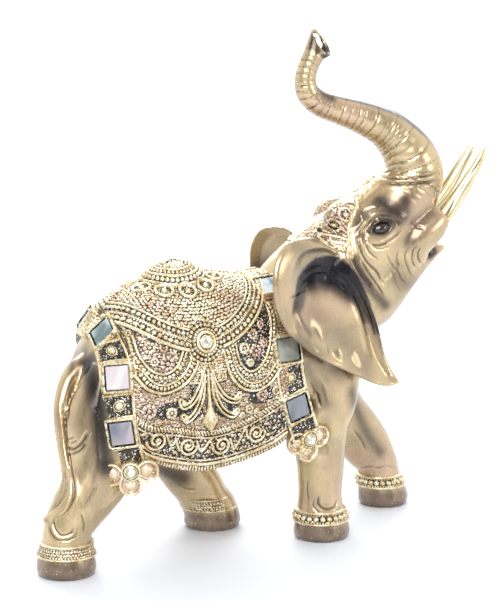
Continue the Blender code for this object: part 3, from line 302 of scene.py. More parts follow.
def ear_sheet(rows=110, columns=90):
    """Middle surface of the right ear: rows from its top to its tip, columns from the head to its edge."""
    front, back = along(ear_front, rows), along(ear_back, rows)
    over, down = np.linspace(0.0, 1.0, columns)[None, :], np.linspace(0.0, 1.0, rows)[:, None]
    sheet = front[:, None, :] * (1 - over[..., None]) + back[:, None, :] * over[..., None]
    width = np.linalg.norm(back - front, axis=1)[:, None]
    to_edge, to_head = width * (1 - over), width * over
    x, z = sheet[:, :, 0], sheet[:, :, 2]
    edge = 3.4 * swell(to_edge, 6.5, 5.5) * swell(down, 0.18, 0.26) + 0.9 * swell(to_edge, 1.5, 2.2)
    border = 1.6 * swell(to_head, 1.5, 1.6) * swell(down, 0.66, 0.32)
    second = 0.9 * swell(to_head, 9.5, 1.5) * swell(down, 0.55, 0.25)
    hollow = 6.5 * swell(x, 17.0, 11.0) * swell(z, 110.0, 8.5)
    valley = 2.4 * swell(to_head, 5.6, 2.6) * swell(down, 0.62, 0.30)
    field = 2.6 * swell(x, 16.0, 13.0) * swell(z, 92.0, 8.0)
    ripple = 1.0 * np.sin(x * 0.62 + 0.6) * swell(to_edge, 9.0, 5.5) * swell(down, 0.62, 0.22)
    inner = second + field + ripple - hollow - valley
    sheet[:, :, 1] -= edge + border + inner * np.clip(to_head / 5.0, 0.0, 1.0)
    return sheet


def ear_rings(sheet):
    """Closed rings round an ear's middle surface, which is thick in the middle and thin at its edges."""
    half = 1.5 * np.sqrt(np.clip(1 - (2 * np.linspace(0.0, 1.0, sheet.shape[1]) - 1) ** 8, 0.02, 1.0))
    outer, inner = sheet.copy(), sheet.copy()
    outer[:, :, 1] -= half
    inner[:, :, 1] += half
    return np.concatenate([outer, inner[:, ::-1]], axis=1)


near_ear = ear_sheet()
hinge = near_ear[:, :1]
swung = (near_ear - hinge) * np.array([0.66, 1.0, 1.0])
swing = math.radians(14.0)
far_ear = hinge + np.array([8.0, 2.0, -4.0]) + np.stack(
    [swung[..., 0] * math.cos(swing) - swung[..., 1] * math.sin(swing),
     swung[..., 1] * math.cos(swing) + swung[..., 0] * math.sin(swing), swung[..., 2]], axis=-1)

# The blanket and the straps are part of the same casting and lie on the flank. Their plan is x along the back
# and v down the side, with v 50 on the torso's widest line. The tables hold the left flank, and the right one
# mirrors it.
widest = 50.0
plan_x, plan_v = np.arange(-90.0, 25.0, 0.5), np.arange(-14.0, 100.0, 0.5)
skirt_tuck, skirt_bend, skirt_drop = 0.08, 38.0, 100.0
flank_root = 4.0


def flank_tables():
    """Tables of y and z of the flank at each x and v: the torso's upper half, then a hanging skirt."""
    rows = along(torso, 400)
    turn, power = np.linspace(0.0, math.pi / 2, 120), 2.0 / torso_fullness
    drop = np.linspace(0.5, skirt_drop, 160)
    tuck = 1 - skirt_tuck * (np.minimum(drop, skirt_bend) / skirt_bend) ** 2
    y_table, z_table, spine = [], [], []
    for x in plan_x:
        middle, half, above = [np.interp(x, rows[:, 0], rows[:, k]) for k in (1, 2, 3)]
        y = np.concatenate([half * np.sin(turn) ** power, half * tuck])
        z = np.concatenate([middle + above * np.cos(turn) ** power, middle - drop])
        s = np.concatenate([[0.0], np.cumsum(np.hypot(np.diff(y), np.diff(z)))])
        from_spine = plan_v - widest + s[len(turn) - 1]
        y_table.append(np.sign(from_spine) * np.interp(np.abs(from_spine), s, y))
        z_table.append(np.interp(np.abs(from_spine), s, z))
        spine.append(widest - s[len(turn) - 1])
    return np.array(y_table), np.array(z_table), np.array(spine)


flank_y, flank_z, spine_v = flank_tables()
slope_xy, slope_vy = np.gradient(flank_y, plan_x, plan_v)
slope_xz, slope_vz = np.gradient(flank_z, plan_x, plan_v)


def spine_at(x):
    """The v of the spine at x."""
    return np.interp(x, plan_x, spine_v)


def look_up(table, x, v):
    """Value of a flank table between its grid points."""
    i = np.clip((x - plan_x[0]) / (plan_x[1] - plan_x[0]), 0, len(plan_x) - 1.001)
    j = np.clip((v - plan_v[0]) / (plan_v[1] - plan_v[0]), 0, len(plan_v) - 1.001)
    i0, j0 = i.astype(int), j.astype(int)
    fi, fj = i - i0, j - j0
    return (table[i0, j0] * (1 - fi) * (1 - fj) + table[i0 + 1, j0] * fi * (1 - fj)
            + table[i0, j0 + 1] * (1 - fi) * fj + table[i0 + 1, j0 + 1] * fi * fj)


def flank_frame(x, v):
    """Points on the left flank and their unit directions: along x, down the side and outwards."""
    x, v = np.broadcast_arrays(np.asarray(x, float), np.asarray(v, float))
    point = np.stack([x, look_up(flank_y, x, v), look_up(flank_z, x, v)], axis=-1)
    down = unit(np.stack([np.zeros_like(x), look_up(slope_vy, x, v), look_up(slope_vz, x, v)], axis=-1))
    forth = np.stack([np.ones_like(x), look_up(slope_xy, x, v), look_up(slope_xz, x, v)], axis=-1)
    out = unit(np.cross(forth, down))
    return point, np.cross(down, out), down, out


def on_flank(plan, lift):
    """Points raised above the left flank over places of its plan."""
    point, _, _, out = flank_frame(plan[..., 0], plan[..., 1])
    return point + out * np.asarray(lift)[..., None]


def smooth_line(points, steps=24):
    """A smooth line in the plan through the given points."""
    return along([(x, v, 0.0) for x, v in points], steps)[:, :2]


hem = [(-66, 66), (-63, 71.5), (-59, 76.2), (-50.8, 80.2), (-38.2, 82.5), (-22.2, 81.8), (-8.8, 79.2),
       (-2, 76.5), (1, 71)]
hem_line = smooth_line(hem, 200)
cloth_start, cloth_end, cloth_lift = -66.5, -1.0, 2.2
straps = {
    "rear": {"line": [(-68.2, 4), (-70, 15), (-70.8, 24), (-70.9, 36), (-71.3, 48), (-70.8, 60),
                      (-69, 72), (-68.2, 76)],
             "tiles": (20.2, 41, 62.5), "studs": (30.6, 51.6), "pendant": (-67.6, 77.6),
             "forward": {"right": 0, "left": 9}, "pendant_lift": {"right": 3.4, "left": 0}},
    "front": {"line": [(-1.7, 3), (-1.2, 18), (-1.2, 30), (-0.8, 42), (0.2, 52), (3.2, 64),
                       (6.4, 73.5), (7.8, 77.5)],
              "tiles": (12.8, 40, 64.2), "studs": (26.6, 51.4), "pendant": (9.4, 79.4),
              "forward": {"right": 0, "left": 0}, "pendant_lift": {"right": 0, "left": 0}},
}
strap_half, strap_lift = 6.3, 3.0
sides = {"right": mirror, "left": np.ones(3)}


def strap_line(strap, word, steps=60):
    """Middle line of a strap in the plan. The left haunch is further forward, and so is the strap on it."""
    line = smooth_line(straps[strap]["line"], steps)
    line[:, 0] += straps[strap]["forward"][word] * np.clip((line[:, 1] - 16.0) / 22.0, 0.0, 1.0)
    return line


def stretch_at(x, v):
    """How much longer a step along x is on the flank than in the plan."""
    return np.sqrt(1 + look_up(slope_xy, x, v) ** 2 + look_up(slope_xz, x, v) ** 2)


def strap_plan(strap, word, steps, offsets):
    """Places of the plan over a strap, from the spine to its foot, at offsets from its middle line."""
    line = strap_line(strap, word, 400)
    line = line[line[:, 1] > spine_at(line[:, 0])]
    top = np.array([[line[0, 0], float(spine_at(line[0, 0]))]])
    line = smooth_line(np.vstack([top, line[8::40], line[-1:]]), steps)
    ahead = unit(np.gradient(line, axis=0))
    sideways = np.stack([ahead[:, 1], -ahead[:, 0]], axis=1)
    sideways[:, 0] /= stretch_at(line[:, 0], line[:, 1])
    return line[:, None, :] + sideways[:, None, :] * np.asarray(offsets)[None, :, None]


def backing(plan, lift):
    """Closed rings of a plain shell under what lies on the flank, from its root up to a height."""
    outer = on_flank(plan, np.full(plan.shape[:2], lift))
    inner = on_flank(plan, np.full(plan.shape[:2], -flank_root))
    return np.concatenate([outer, inner[:, ::-1]], axis=1)


def cloth_plan(columns, rows, margin=0.0):
    """Places of the plan over the blanket: columns along x, and rows from the spine down to the hem."""
    x = np.linspace(cloth_start + margin, cloth_end - margin, columns)
    top, foot = spine_at(x), np.interp(x, hem_line[:, 0], hem_line[:, 1]) - margin
    share = np.linspace(0.0, 1.0, rows)
    plan_rows = top[:, None] + (foot - top)[:, None] * share
    return np.stack([np.repeat(x[:, None], rows, axis=1), plan_rows], axis=-1)


forms = [torso_rings(), trunk_rings(), head_turned(tube([(x, 0.0, z, a, b) for x, z, a, b in jaw], 60))]
forms += [tube(rows, 90) for rows in legs.values()] + [tube(tail, 90, 24)]
for x, y, z, *halves in head_lumps:
    forms += [head_turned(rings) for rings in both_sides(ball((x, y, z), halves))]
forms += [head_turned(rings) for rings in both_sides(tube(sheath, 30))]
forms += [ear_rings(near_ear), ear_rings(far_ear) * mirror]
for word, side in sides.items():
    forms.append(backing(cloth_plan(90, 90, 0.5), cloth_lift - 0.5) * side)
    forms += [backing(strap_plan(name, word, 90, np.linspace(-5.9, 5.9, 9)), strap_lift - 1.2) * side
              for name in straps]
animal = piece_from("animal", *skin_of(forms))
melt = animal.modifiers.new("one skin", "REMESH")
melt.mode, melt.voxel_size = "VOXEL", skin_grain / 1000.0
ease = animal.modifiers.new("soften", "SMOOTH")
ease.factor, ease.iterations = 0.5, 4
applied(animal)

# Straps and pendants lie on the haunches and shoulders, so the skin is pressed in under them and slopes up
# beside them.
pendant_top, pendant_lobes = 3.6, [(-5.2, 0.6), (5.2, 0.6), (0.0, 5.4)]
under_strap, under_pendant, lobe_reach, pressed_low = 1.7, 3.4, 13.0, 96.0
pressed, on_side = points_of(animal.data), {}
eased = np.zeros(len(pressed))
for word, side in sides.items():
    mine = np.flatnonzero((pressed[:, 1] * side[1] > 12.0) & (pressed[:, 2] > 28.0) & (pressed[:, 2] < 112.0)
                          & (pressed[:, 0] > -86.0) & (pressed[:, 0] < 21.0))
    left = pressed[mine] * side
    column = np.clip(np.round((left[:, 0] - plan_x[0]) * 2).astype(int), 0, len(plan_x) - 1)
    v = np.zeros(len(mine))
    for i in np.unique(column):
        v[column == i] = np.interp(-left[column == i, 2], -flank_z[i, 40:], plan_v[40:])
    point, _, _, out = flank_frame(left[:, 0], v)
    high = np.sum((left - point) * out, axis=1)
    allowed = np.full(len(mine), 99.0)
    for name, parts in straps.items():
        line = strap_line(name, word, 60)
        away = np.min(np.hypot(left[:, 0, None] - line[None, :, 0], v[:, None] - line[None, :, 1]), axis=1)
        bulging = (high < 5.5) | (left[:, 0] < -30.0)
        bulging &= away < strap_half + 7.0
        slope = under_strap + np.maximum(away - strap_half, 0.0)
        allowed = np.where(bulging, np.minimum(allowed, slope), allowed)
        middle = parts["pendant"][0] + parts["forward"][word]
        for across, down in pendant_lobes:
            away = np.hypot(left[:, 0] - middle - across, v - parts["pendant"][1] - down)
            floor_high = pendant_top + parts["pendant_lift"][word] - under_pendant
            slope = floor_high + 0.8 * np.maximum(away - 6.0, 0.0)
            eased[mine] = np.maximum(eased[mine], 1 - soft_step(away, 8.0, 14.0))
            allowed = np.where((v < pressed_low) & (away < lobe_reach), np.minimum(allowed, slope), allowed)
    on_flank_table = (left[:, 2] > flank_z[column, -1] + 1.0) & (high < 14.0) & (left[:, 0] > -82.0)
    on_side[word] = (mine, (np.minimum(allowed - high, 0.0) * on_flank_table)[:, None] * out * side)
for mine, step in on_side.values():
    pressed[mine] += step
animal.data.vertices.foreach_set("co", ((pressed + centre) / 1000.0).ravel())
animal.data.update()

# Cheeks run softly into the tusk sheaths and the trunk, and so does the skin round the pendants.
folded = head_turned(pressed, -head_turn)
folded[:, 1] = np.abs(folded[:, 1])
for cheek in ((60, 14, 140), (65, 15, 127), (70, 13, 135), (75, 11, 138)):
    away = np.linalg.norm(folded - np.array(cheek), axis=1)
    eased = np.maximum(eased, 1 - soft_step(away, 9.0, 15.0))
group = animal.vertex_groups.new(name="eased")
for share in (0.25, 0.5, 0.75, 1.0):
    near = np.flatnonzero((eased > share - 0.20) & (eased <= share + 0.05))
    group.add(near.tolist(), share, "REPLACE")
ease = animal.modifiers.new("ease the joins", "SMOOTH")
ease.factor, ease.iterations, ease.vertex_group = 0.5, 80, "eased"
applied(animal)

# Where the skin is, for what is read off the photograph.
skin_tree = BVHTree.FromObject(animal, bpy.context.evaluated_depsgraph_get())


def seen_at(px, py):
    """The point of the skin at a pixel of the photograph, in millimetres of the figure, and its normal."""
    ray = (-to_camera * focal_pixels + to_right * (px - frame_width / 2)
           - to_top * (py - frame_height / 2)).normalized()
    place, normal, _, _ = skin_tree.ray_cast(camera_place.translation, ray)
    return (np.array(place) * 1000.0 - centre, np.array(normal)) if place else (None, None)


def skin_line(pixels, steps):
    """Points of the skin along a smooth line through pixels of the photograph."""
    seen = [seen_at(*pixel)[0] for pixel in smooth_line(pixels, steps)]
    return np.array([point for point in seen if point is not None])


def close_to(line, reach):
    """The points of the skin in the box round a line, with a reach to spare."""
    inside = (skin > line.min(axis=0) - reach) & (skin < line.max(axis=0) + reach)
    return np.flatnonzero(np.all(inside, axis=1))


skin = points_of(animal.data)
normals = np.empty(len(skin) * 3)
animal.data.vertex_normals.foreach_get("vector", normals)
normals = normals.reshape(-1, 3)
in_head = head_turned(skin, -head_turn)
lift = np.zeros(len(skin))

# Rings of the trunk: grooves across it, closer towards the tip, and none on its flat underside.
stem_line = along([(x, 0.0, z, a) for x, z, a, b in head_and_trunk], 500)
stem_ahead = unit(np.gradient(stem_line[:, [0, 2]], axis=0))
on_stem = np.flatnonzero((skin[:, 2] > 128.0) & (skin[:, 0] > 10.0))
first_near = 150
stem_side = stem_line[None, first_near:, [0, 2]]
nearest = first_near + np.concatenate([
    np.argmin(np.linalg.norm(in_head[block][:, None, [0, 2]] - stem_side, axis=2), axis=1)
    for block in np.array_split(on_stem, 60)])
from_stem = in_head[on_stem][:, [0, 2]] - stem_line[nearest][:, [0, 2]]
outward = from_stem[:, 0] * stem_ahead[nearest, 1] - from_stem[:, 1] * stem_ahead[nearest, 0]
outward /= stem_line[nearest, 3]
stem_length = np.concatenate([[0.0], np.cumsum(np.linalg.norm(np.diff(stem_line[:, :3], axis=0), axis=1))])
run = stem_length[nearest]
ring_start, ring_full = 66.0, 76.0
pitch = np.interp(stem_length, (70.0, 110.0, 160.0), (3.3, 2.9, 2.1))
phase = np.cumsum(np.gradient(stem_length) / pitch)[nearest]
phase += 0.30 * np.sin(run * 0.43) + 0.22 * np.sin(in_head[on_stem, 1] * 0.35 + run * 0.21) + 0.10 * outward
groove = np.exp(-(np.abs(phase - np.round(phase)) / 0.125) ** 2)
deep = 0.45 + 0.25 * np.sin(run * 0.9 + 1.3) - 0.35 * outward
ring_share = soft_step(run, ring_start, ring_full) * (1 - soft_step(outward, 0.72, 0.90))
thin = np.interp(run, (90.0, 170.0), (1.0, 0.5))
between = 0.05 * swell(phase % 1.0, 0.5, 0.35)
lift[on_stem] += ring_share * thin * (between - 0.62 * np.clip(deep, 0.1, 0.8) * groove)
ring_dark = np.zeros(len(skin))
ring_dark[on_stem] = ring_share * groove * np.clip(deep + 0.2, 0.2, 0.9)
# Painted shade and dark reflection: charcoal grey along the trunk's flat underside.
trunk_underside_shade = np.zeros(len(skin))
trunk_underside_shade[on_stem] = soft_step(run, 84.0, 96.0) * soft_step(outward, 0.66, 0.86)


def line_distance(points, line):
    """Distance from each point to a line of points, and how far along the line it lies, 0 to 1."""
    best, share = np.full(len(points), 1e9), np.zeros(len(points))
    for i, (a, b) in enumerate(zip(line[:-1], line[1:])):
        t = np.clip((points - a) @ (b - a) / max(float((b - a) @ (b - a)), 1e-9), 0.0, 1.0)
        away = np.linalg.norm(points - a - t[:, None] * (b - a), axis=1)
        closer = away < best
        best[closer], share[closer] = away[closer], (i + t[closer]) / (len(line) - 1)
    return best, share


def line_measure(line, x, v):
    """Distance in the plan from each place to a line, with its side as its sign, and the run along it."""
    away, side, run, length = np.full(x.shape, 1e9), np.ones(x.shape), np.zeros(x.shape), 0.0
    for (ax, av), (bx, bv) in zip(line[:-1], line[1:]):
        step = math.hypot(bx - ax, bv - av)
        t = np.clip(((x - ax) * (bx - ax) + (v - av) * (bv - av)) / step ** 2, 0.0, 1.0)
        gap = np.hypot(x - ax - t * (bx - ax), v - av - t * (bv - av))
        closer = gap < away
        side = np.where(closer, np.sign((x - ax) * (bv - av) - (v - av) * (bx - ax) + 1e-9), side)
        run = np.where(closer, length + t * step, run)
        away = np.minimum(away, gap)
        length += step
    return away * side, run


crease_dark = np.zeros(len(skin))


def crease(pixels, width, depth, raised=0.35, both=False):
    """Press a crease into the skin along pixels of the photograph, with a soft lip on each side of it."""
    line = skin_line(pixels, 5 * len(pixels))
    if len(line) < 2:
        return
    lines = [line]
    if both:
        lines.append(across_head(line))
    for line in lines:
        near = close_to(line, 4 * width)
        away, share = line_distance(skin[near], line)
        taper = np.clip(np.minimum(share, 1 - share) * 5.0, 0.0, 1.0) ** 0.7
        cut = np.exp(-(away / width) ** 2)
        lift[near] += taper * depth * (raised * swell(away, 2.0 * width, width) - cut)
        crease_dark[near] = np.maximum(crease_dark[near], taper * min(1.0, depth * 2.0) * cut)


# Face: the fold over the eye, the wrinkles behind it, the rings about the corner of the mouth, the throat.
# Each crease is pixels of the photograph, a width and a depth in millimetres.
for pixels, width, depth in (
        [((382, 183), (402, 183.5), (424, 182.5), (441, 179)), 0.75, 0.7],
        [((383, 178), (400, 178.5), (420, 177), (440, 172)), 0.6, 0.5],
        [((367, 240), (374, 245), (385, 243.5), (396, 236), (401, 228)), 0.55, 0.45],
        [((370, 246), (380, 249), (392, 245)), 0.45, 0.3],
        [((357, 234), (360, 248), (367, 262), (377, 272), (384, 286)), 0.6, 0.6],
        [((364, 236), (369, 251), (380, 261)), 0.5, 0.45],
        [((351, 252), (358, 268), (368, 282), (378, 294)), 0.8, 0.8],
        [((360, 258), (369, 273), (381, 290), (386, 300)), 0.55, 0.5],
        [((386, 250), (391, 262), (400, 274), (404, 286)), 0.45, 0.35],
        [((423, 247), (418.5, 252), (419, 260), (424, 265)), 0.45, 0.5],
        [((419, 244), (413, 251), (413, 263), (419, 270)), 0.45, 0.45],
        [((411, 244), (405, 255), (408, 269), (416, 280)), 0.45, 0.4],
        [((401, 247), (397, 258), (400, 275), (410, 288)), 0.45, 0.35],
        [((392, 268), (396, 282), (402, 294)), 0.45, 0.3],
        [((410, 221), (417, 227), (424, 228)), 0.6, 0.35]):
    crease(pixels, width, depth, both=True)

# Legs: U-shaped folds under each swirl above the anklets, long folds at the shoulder, elbow and haunch.
for pixels, width, depth in (
        [((55, 517), (54, 526), (60, 535), (70, 534), (75, 526)), 0.55, 0.55],
        [((51, 519), (50, 530), (58, 540), (73, 538), (79, 527)), 0.5, 0.45],
        [((80, 512), (84, 524), (83, 534)), 0.5, 0.4],
        [((66, 448), (74, 449), (83, 441), (88, 431)), 0.7, 0.7],
        [((69, 455), (79, 451), (87, 442)), 0.5, 0.5],
        [((68, 440), (74, 437)), 0.5, 0.4], [((70, 444), (78, 440)), 0.5, 0.4],
        [((96, 484), (90, 496), (83, 508)), 0.6, 0.3],
        [((320, 494), (318, 503), (325, 509), (334, 507), (338, 498)), 0.55, 0.5],
        [((316, 495), (313, 506), (323, 514), (338, 511), (342, 500)), 0.45, 0.4],
        [((308, 478), (307, 492), (309, 504)), 0.5, 0.35],
        [((302, 386), (309, 396), (314, 410)), 0.6, 0.5], [((309, 380), (316, 392), (321, 408)), 0.5, 0.4],
        [((318, 378), (324, 390), (328, 402)), 0.5, 0.3],
        [((352, 428), (361, 440), (366, 452)), 0.6, 0.35], [((357, 470), (370, 467), (384, 470)), 0.5, 0.3],
        [((374, 470), (386, 466), (397, 468)), 0.5, 0.3], [((176, 482), (186, 489), (198, 490)), 0.6, 0.35],
        [((195, 503), (205, 500), (217, 502)), 0.5, 0.35]):
    crease(pixels, width, depth)

# Near ear: a thin glossy ridge that crosses the hollow, and a groove down its front border.
crease([(300, 281), (309, 274.5), (319, 271), (328, 272), (336, 278), (345, 287), (352, 296)], 0.8, -0.7)
crease([(344, 275), (352, 284), (359, 295), (365, 306), (370, 320), (374, 336)], 0.55, 0.55)

# Tail tuft: long grooves that follow its curl.
for shift in (-3.0, -1.2, 1.2, 3.2):
    curl = [(63 + shift * 0.5, 466), (64 + shift, 488), (58 + shift * 0.8, 503), (46 + shift * 0.2, 515)]
    crease(curl, 0.4, 0.35)
crease([(63, 400), (67.6, 446), (70.8, 466), (73.8, 492), (70.8, 504), (64.6, 513), (55, 519)], 0.65, 0.9)

# Eye: a socket under the brow, and two lids about a separate glossy eyeball.
eye_pixel, eye_half_long, eye_half_tall, eye_lean = (381.8, 228.0), 4.3, 2.7, math.radians(20.0)
eye_place, eye_normal = seen_at(*eye_pixel)
eye_along = np.array(to_right) * math.cos(eye_lean) + np.array(to_top) * math.sin(eye_lean)
eye_along -= eye_normal * (eye_along @ eye_normal)
eye_along /= np.linalg.norm(eye_along)
eye_up = np.cross(eye_normal, eye_along)
eye_socket_shade = np.zeros(len(skin))
for side in (1, -1):
    points = skin if side == 1 else across_head(skin)
    offset = points - eye_place
    a, b = offset @ eye_along / eye_half_long, offset @ eye_up / eye_half_tall
    close = np.linalg.norm(offset, axis=1) < 16.0
    radius = np.hypot(a, b * (1 + 0.25 * np.abs(a)))
    lids = 0.95 * swell(radius, 1.12, 0.20) - 1.5 * np.exp(-(radius / 0.9) ** 4)
    socket = -0.9 * swell(radius, 1.75, 0.35) * (0.6 + 0.4 * np.tanh(b * 2))
    socket += 0.4 * swell(radius, 2.5, 0.4) * (b > 0)
    lift[close] += (lids + socket)[close]
    # Painted shade round the eye: darkest in the socket and under the brow.
    shadow = np.clip(swell(radius, 0.9, 0.75) * (0.75 + 0.25 * np.tanh(b)), 0.0, 1.0)
    brow_shade = 0.75 * swell(a, 1.3, 1.6) * swell(b, 1.9, 1.7)
    eye_socket_shade[close] = np.maximum(eye_socket_shade, np.maximum(shadow, brow_shade))[close]

# Feet: a flat sole with a rounded edge, and toes that swell a little at the front of each foot.
skin = skin + normals * lift[:, None]
for rows in legs.values():
    foot = np.array(rows[-1][:2])
    away = skin[:, :2] - foot
    low = (np.hypot(away[:, 0], away[:, 1]) < 14.0) & (skin[:, 2] < 9.0)
    angle = np.arctan2(away[:, 1], away[:, 0])
    toes = 0.35 * np.abs(np.cos(angle * 2.0)) ** 0.5 * swell(skin[:, 2], 3.0, 2.6) * (np.abs(angle) < 2.0)
    skin[low] += (normals * toes[:, None])[low]
    rounding = 1.3 * (1 - np.sqrt(1 - np.clip(1 - skin[:, 2] / 2.6, 0.0, 1.0) ** 2))
    outwards = away / np.maximum(np.hypot(away[:, 0], away[:, 1]), 1.0)[:, None]
    skin[low, :2] -= (outwards * rounding[:, None])[low]
skin[:, 2] = np.maximum(skin[:, 2], 0.0)

# Dark lacquer strokes, as pixels, radius in millimetres and strength. Some are the piece's own airbrushing,
# as on the haunch beside the strap. The rest are painted shade: in the ear's valley, between the tail and the
# haunch, between the legs, on the lower ear and the jaw, and over a bright reflection on the cheek.
airbrush_and_shade = np.zeros(len(skin))
for pixels, radius, strength in (
        [((368, 302), (374, 318), (380, 334), (385, 348)), 2.3, 0.8],
        [((366, 306), (374, 326), (383, 348)), 4.2, 0.35], [((296, 300), (300, 318), (310, 334)), 2.4, 0.4],
        [((312, 316), (336, 336), (366, 362)), 8.0, 0.27], [((300, 340), (318, 358), (344, 372)), 5.5, 0.36],
        [((394, 276), (410, 286), (426, 276)), 5.5, 0.34], [((296, 246), (318, 254)), 4.0, 0.2],
        [((280, 270), (276, 300), (286, 330)), 3.6, 0.16],
        [((398, 214), (390, 206), (380, 202)), 4.2, 0.62], [((396, 222), (404, 214), (404, 200)), 4.0, 0.5],
        [((412, 222), (424, 217)), 3.0, 0.36], [((408, 242), (416, 230), (430, 214)), 3.4, 0.36],
        [((438, 186), (436, 200), (432, 214)), 2.4, 0.22], [((362, 213), (358, 226), (362, 240)), 2.6, 0.42],
        [((347, 246), (355, 262), (368, 286), (386, 306)), 2.8, 0.5],
        [((88, 362), (93, 382), (98, 408), (102, 436), (106, 466)), 4.6, 0.78],
        [((84, 348), (88, 364)), 3.0, 0.4], [((75, 352), (70, 384), (69, 412)), 1.8, 0.4],
        [((306, 368), (316, 384), (326, 404)), 3.4, 0.36], [((316, 362), (328, 380)), 3.2, 0.28],
        [((160, 470), (182, 478)), 5.0, 0.55], [((352, 392), (362, 424), (380, 452)), 3.6, 0.42],
        [((312, 238), (318, 232)), 3.0, 0.5], [((430, 254), (433, 251)), 2.4, 0.8],
        [((316, 80), (322, 92), (332, 98)), 2.2, 0.5]):
    line = skin_line(pixels, 9)
    if len(line) > 1:
        near = close_to(line, 3 * radius)
        away, _ = line_distance(skin[near], line)
        airbrush_and_shade[near] = np.maximum(airbrush_and_shade[near], strength * np.exp(-(away / radius) ** 2))

# The hollow of the near ear is sprayed black: sharp along its upper edge, and fading down into the field.
hollow_edge = [(295, 298), (297.5, 282), (303.5, 270), (315, 260), (327, 256.5), (338, 258.5), (348, 265),
               (357, 276), (365, 291), (371, 307)]
hollow_x, hollow_z = 17.0, 104.0
edge_line = skin_line(hollow_edge, 26)[:, [0, 2]]
near = np.flatnonzero((skin[:, 1] < -15.0) & (skin[:, 0] > -14.0) & (skin[:, 0] < 46.0) & (skin[:, 2] > 80.0))
signed, run = line_measure(edge_line, skin[near, 0], skin[near, 2])
inwards = signed * np.sign(line_measure(edge_line, np.array([hollow_x]), np.array([hollow_z]))[0])
ends = swell(run, 0.52 * run.max(), 0.50 * run.max())
fading = np.exp(-(np.maximum(inwards, 0.0) / (4.0 + 9.5 * ends)) ** 4)
shade = soft_step(inwards, -1.2, 0.8) * fading * ends ** 0.6
airbrush_and_shade[near] = np.maximum(airbrush_and_shade[near], np.clip(1.25 * shade, 0.0, 1.0) * (normals[near, 1] < 0.2))

# The far ear's hollow and the inside of the trunk's mouth are shaded, and the feet are brown.
ear_shade = swell(skin[:, 0], 24.0, 8.0) * swell(skin[:, 2], 104.0, 9.0) * (skin[:, 1] > 21.0)
airbrush_and_shade = np.maximum(airbrush_and_shade, 0.6 * ear_shade)
from_tip = skin - np.array(tip_middle)
inside_tip = (np.linalg.norm(from_tip, axis=1) < 7.4) & (from_tip @ tip_facing < -0.3)
nostril = inside_tip & (normals @ tip_facing > 0.1)
airbrush_and_shade[nostril] = np.maximum(airbrush_and_shade[nostril], 0.5)
foot_tone = 1 - soft_step(skin[:, 2], 6.0, 10.5)
animal.data.vertices.foreach_set("co", ((skin + centre) / 1000.0).ravel())
animal.data.update()
paint = np.stack([np.clip(np.maximum(airbrush_and_shade, 0.85 * eye_socket_shade), 0.0, 1.0),
                  np.clip(np.maximum(ring_dark, crease_dark), 0.0, 1.0),
                  np.clip(np.maximum(trunk_underside_shade, 0.0), 0.0, 1.0), foot_tone], axis=1)


def keep_paint(piece, values, name="paint"):
    """Store four shares for each point, which the material reads. Where they are made says what they mean."""
    layer = piece.data.color_attributes.new(name, "FLOAT_COLOR", "POINT")
    layer.data.foreach_set("color", np.asarray(values, float).ravel())


keep_paint(animal, paint)
thin_out = animal.modifiers.new("fewer faces", "DECIMATE")
animal.data.calc_loop_triangles()
thin_out.ratio = min(1.0, skin_triangles / len(animal.data.loop_triangles))
applied(animal)
animal.data.polygons.foreach_set("use_smooth", [True] * len(animal.data.polygons))


def linear(hexes, alpha=1.0):
    """An sRGB colour given in hex, as linear light."""
    values = [int(hexes[i:i + 2], 16) / 255.0 for i in (1, 3, 5)]
    return (*[v / 12.92 if v <= 0.04045 else ((v + 0.055) / 1.055) ** 2.4 for v in values], alpha)


def add_node(tree_of, kind, inputs=None, **properties):
    """Add a shader node. An input takes a value, a colour in hex, an output or a node."""
    node = tree_of.node_tree.nodes.new("ShaderNode" + kind)
    for key, value in properties.items():
        setattr(node, key, value)
    for key, value in (inputs or {}).items():
        if isinstance(value, bpy.types.Node):
            value = next(output for output in value.outputs if output.enabled)
        if isinstance(value, bpy.types.NodeSocket):
            tree_of.node_tree.links.new(value, node.inputs[key])
        else:
            node.inputs[key].default_value = linear(value) if isinstance(value, str) else value
    return node


def new_material(name):
    """An empty material."""
    material = bpy.data.materials.new(name)
    material.use_nodes = True
    material.node_tree.nodes.clear()
    return material


# Metallic lacquer over resin: pale bronze-gold pigment in a clear gloss, shaded dark by airbrush and by
# painted shade, with an antique wash left in the creases and a painted charcoal shade along the trunk's
# underside. It gives bright, slightly broken reflections, with soft brush marks.
lacquer = new_material("bronze_gold_lacquer")
coords = add_node(lacquer, "TexCoord").outputs["Object"]
shares = add_node(lacquer, "VertexColor", layer_name="paint")
split = add_node(lacquer, "SeparateColor", {0: shares})
cloudy = add_node(lacquer, "TexNoise", {"Vector": coords, "Scale": 1000 / 17.0, "Detail": 3.0})
rosy = add_node(lacquer, "TexNoise", {"Vector": coords, "Scale": 1000 / 31.0, "Detail": 2.0})
slanted = add_node(lacquer, "Mapping", {"Vector": coords, "Rotation": (0.0, 0.62, 0.0),
                                        "Scale": (1.0, 1.0, 0.30)})
strokes = add_node(lacquer, "TexNoise", {"Vector": slanted, "Scale": 1000 / 1.5, "Detail": 3.0})
grain = add_node(lacquer, "TexNoise", {"Vector": coords, "Scale": 1000 / 0.5, "Detail": 2.0})
patchy = add_node(lacquer, "MapRange", {0: cloudy, 1: 0.40, 2: 0.62}, interpolation_type="SMOOTHSTEP")
body = add_node(lacquer, "Mix", {0: patchy, 6: "#c6b088", 7: "#b09c7b"}, data_type="RGBA")
feet = add_node(lacquer, "Mix", {0: patchy, 6: "#7c6a5c", 7: "#93816f"}, data_type="RGBA")
airbrush_and_shade_share, antiqued, underside_shade = split.outputs
thin_airbrush_and_shade = add_node(lacquer, "MapRange", {0: airbrush_and_shade_share, 1: 0.0, 2: 0.45, 4: 0.85})
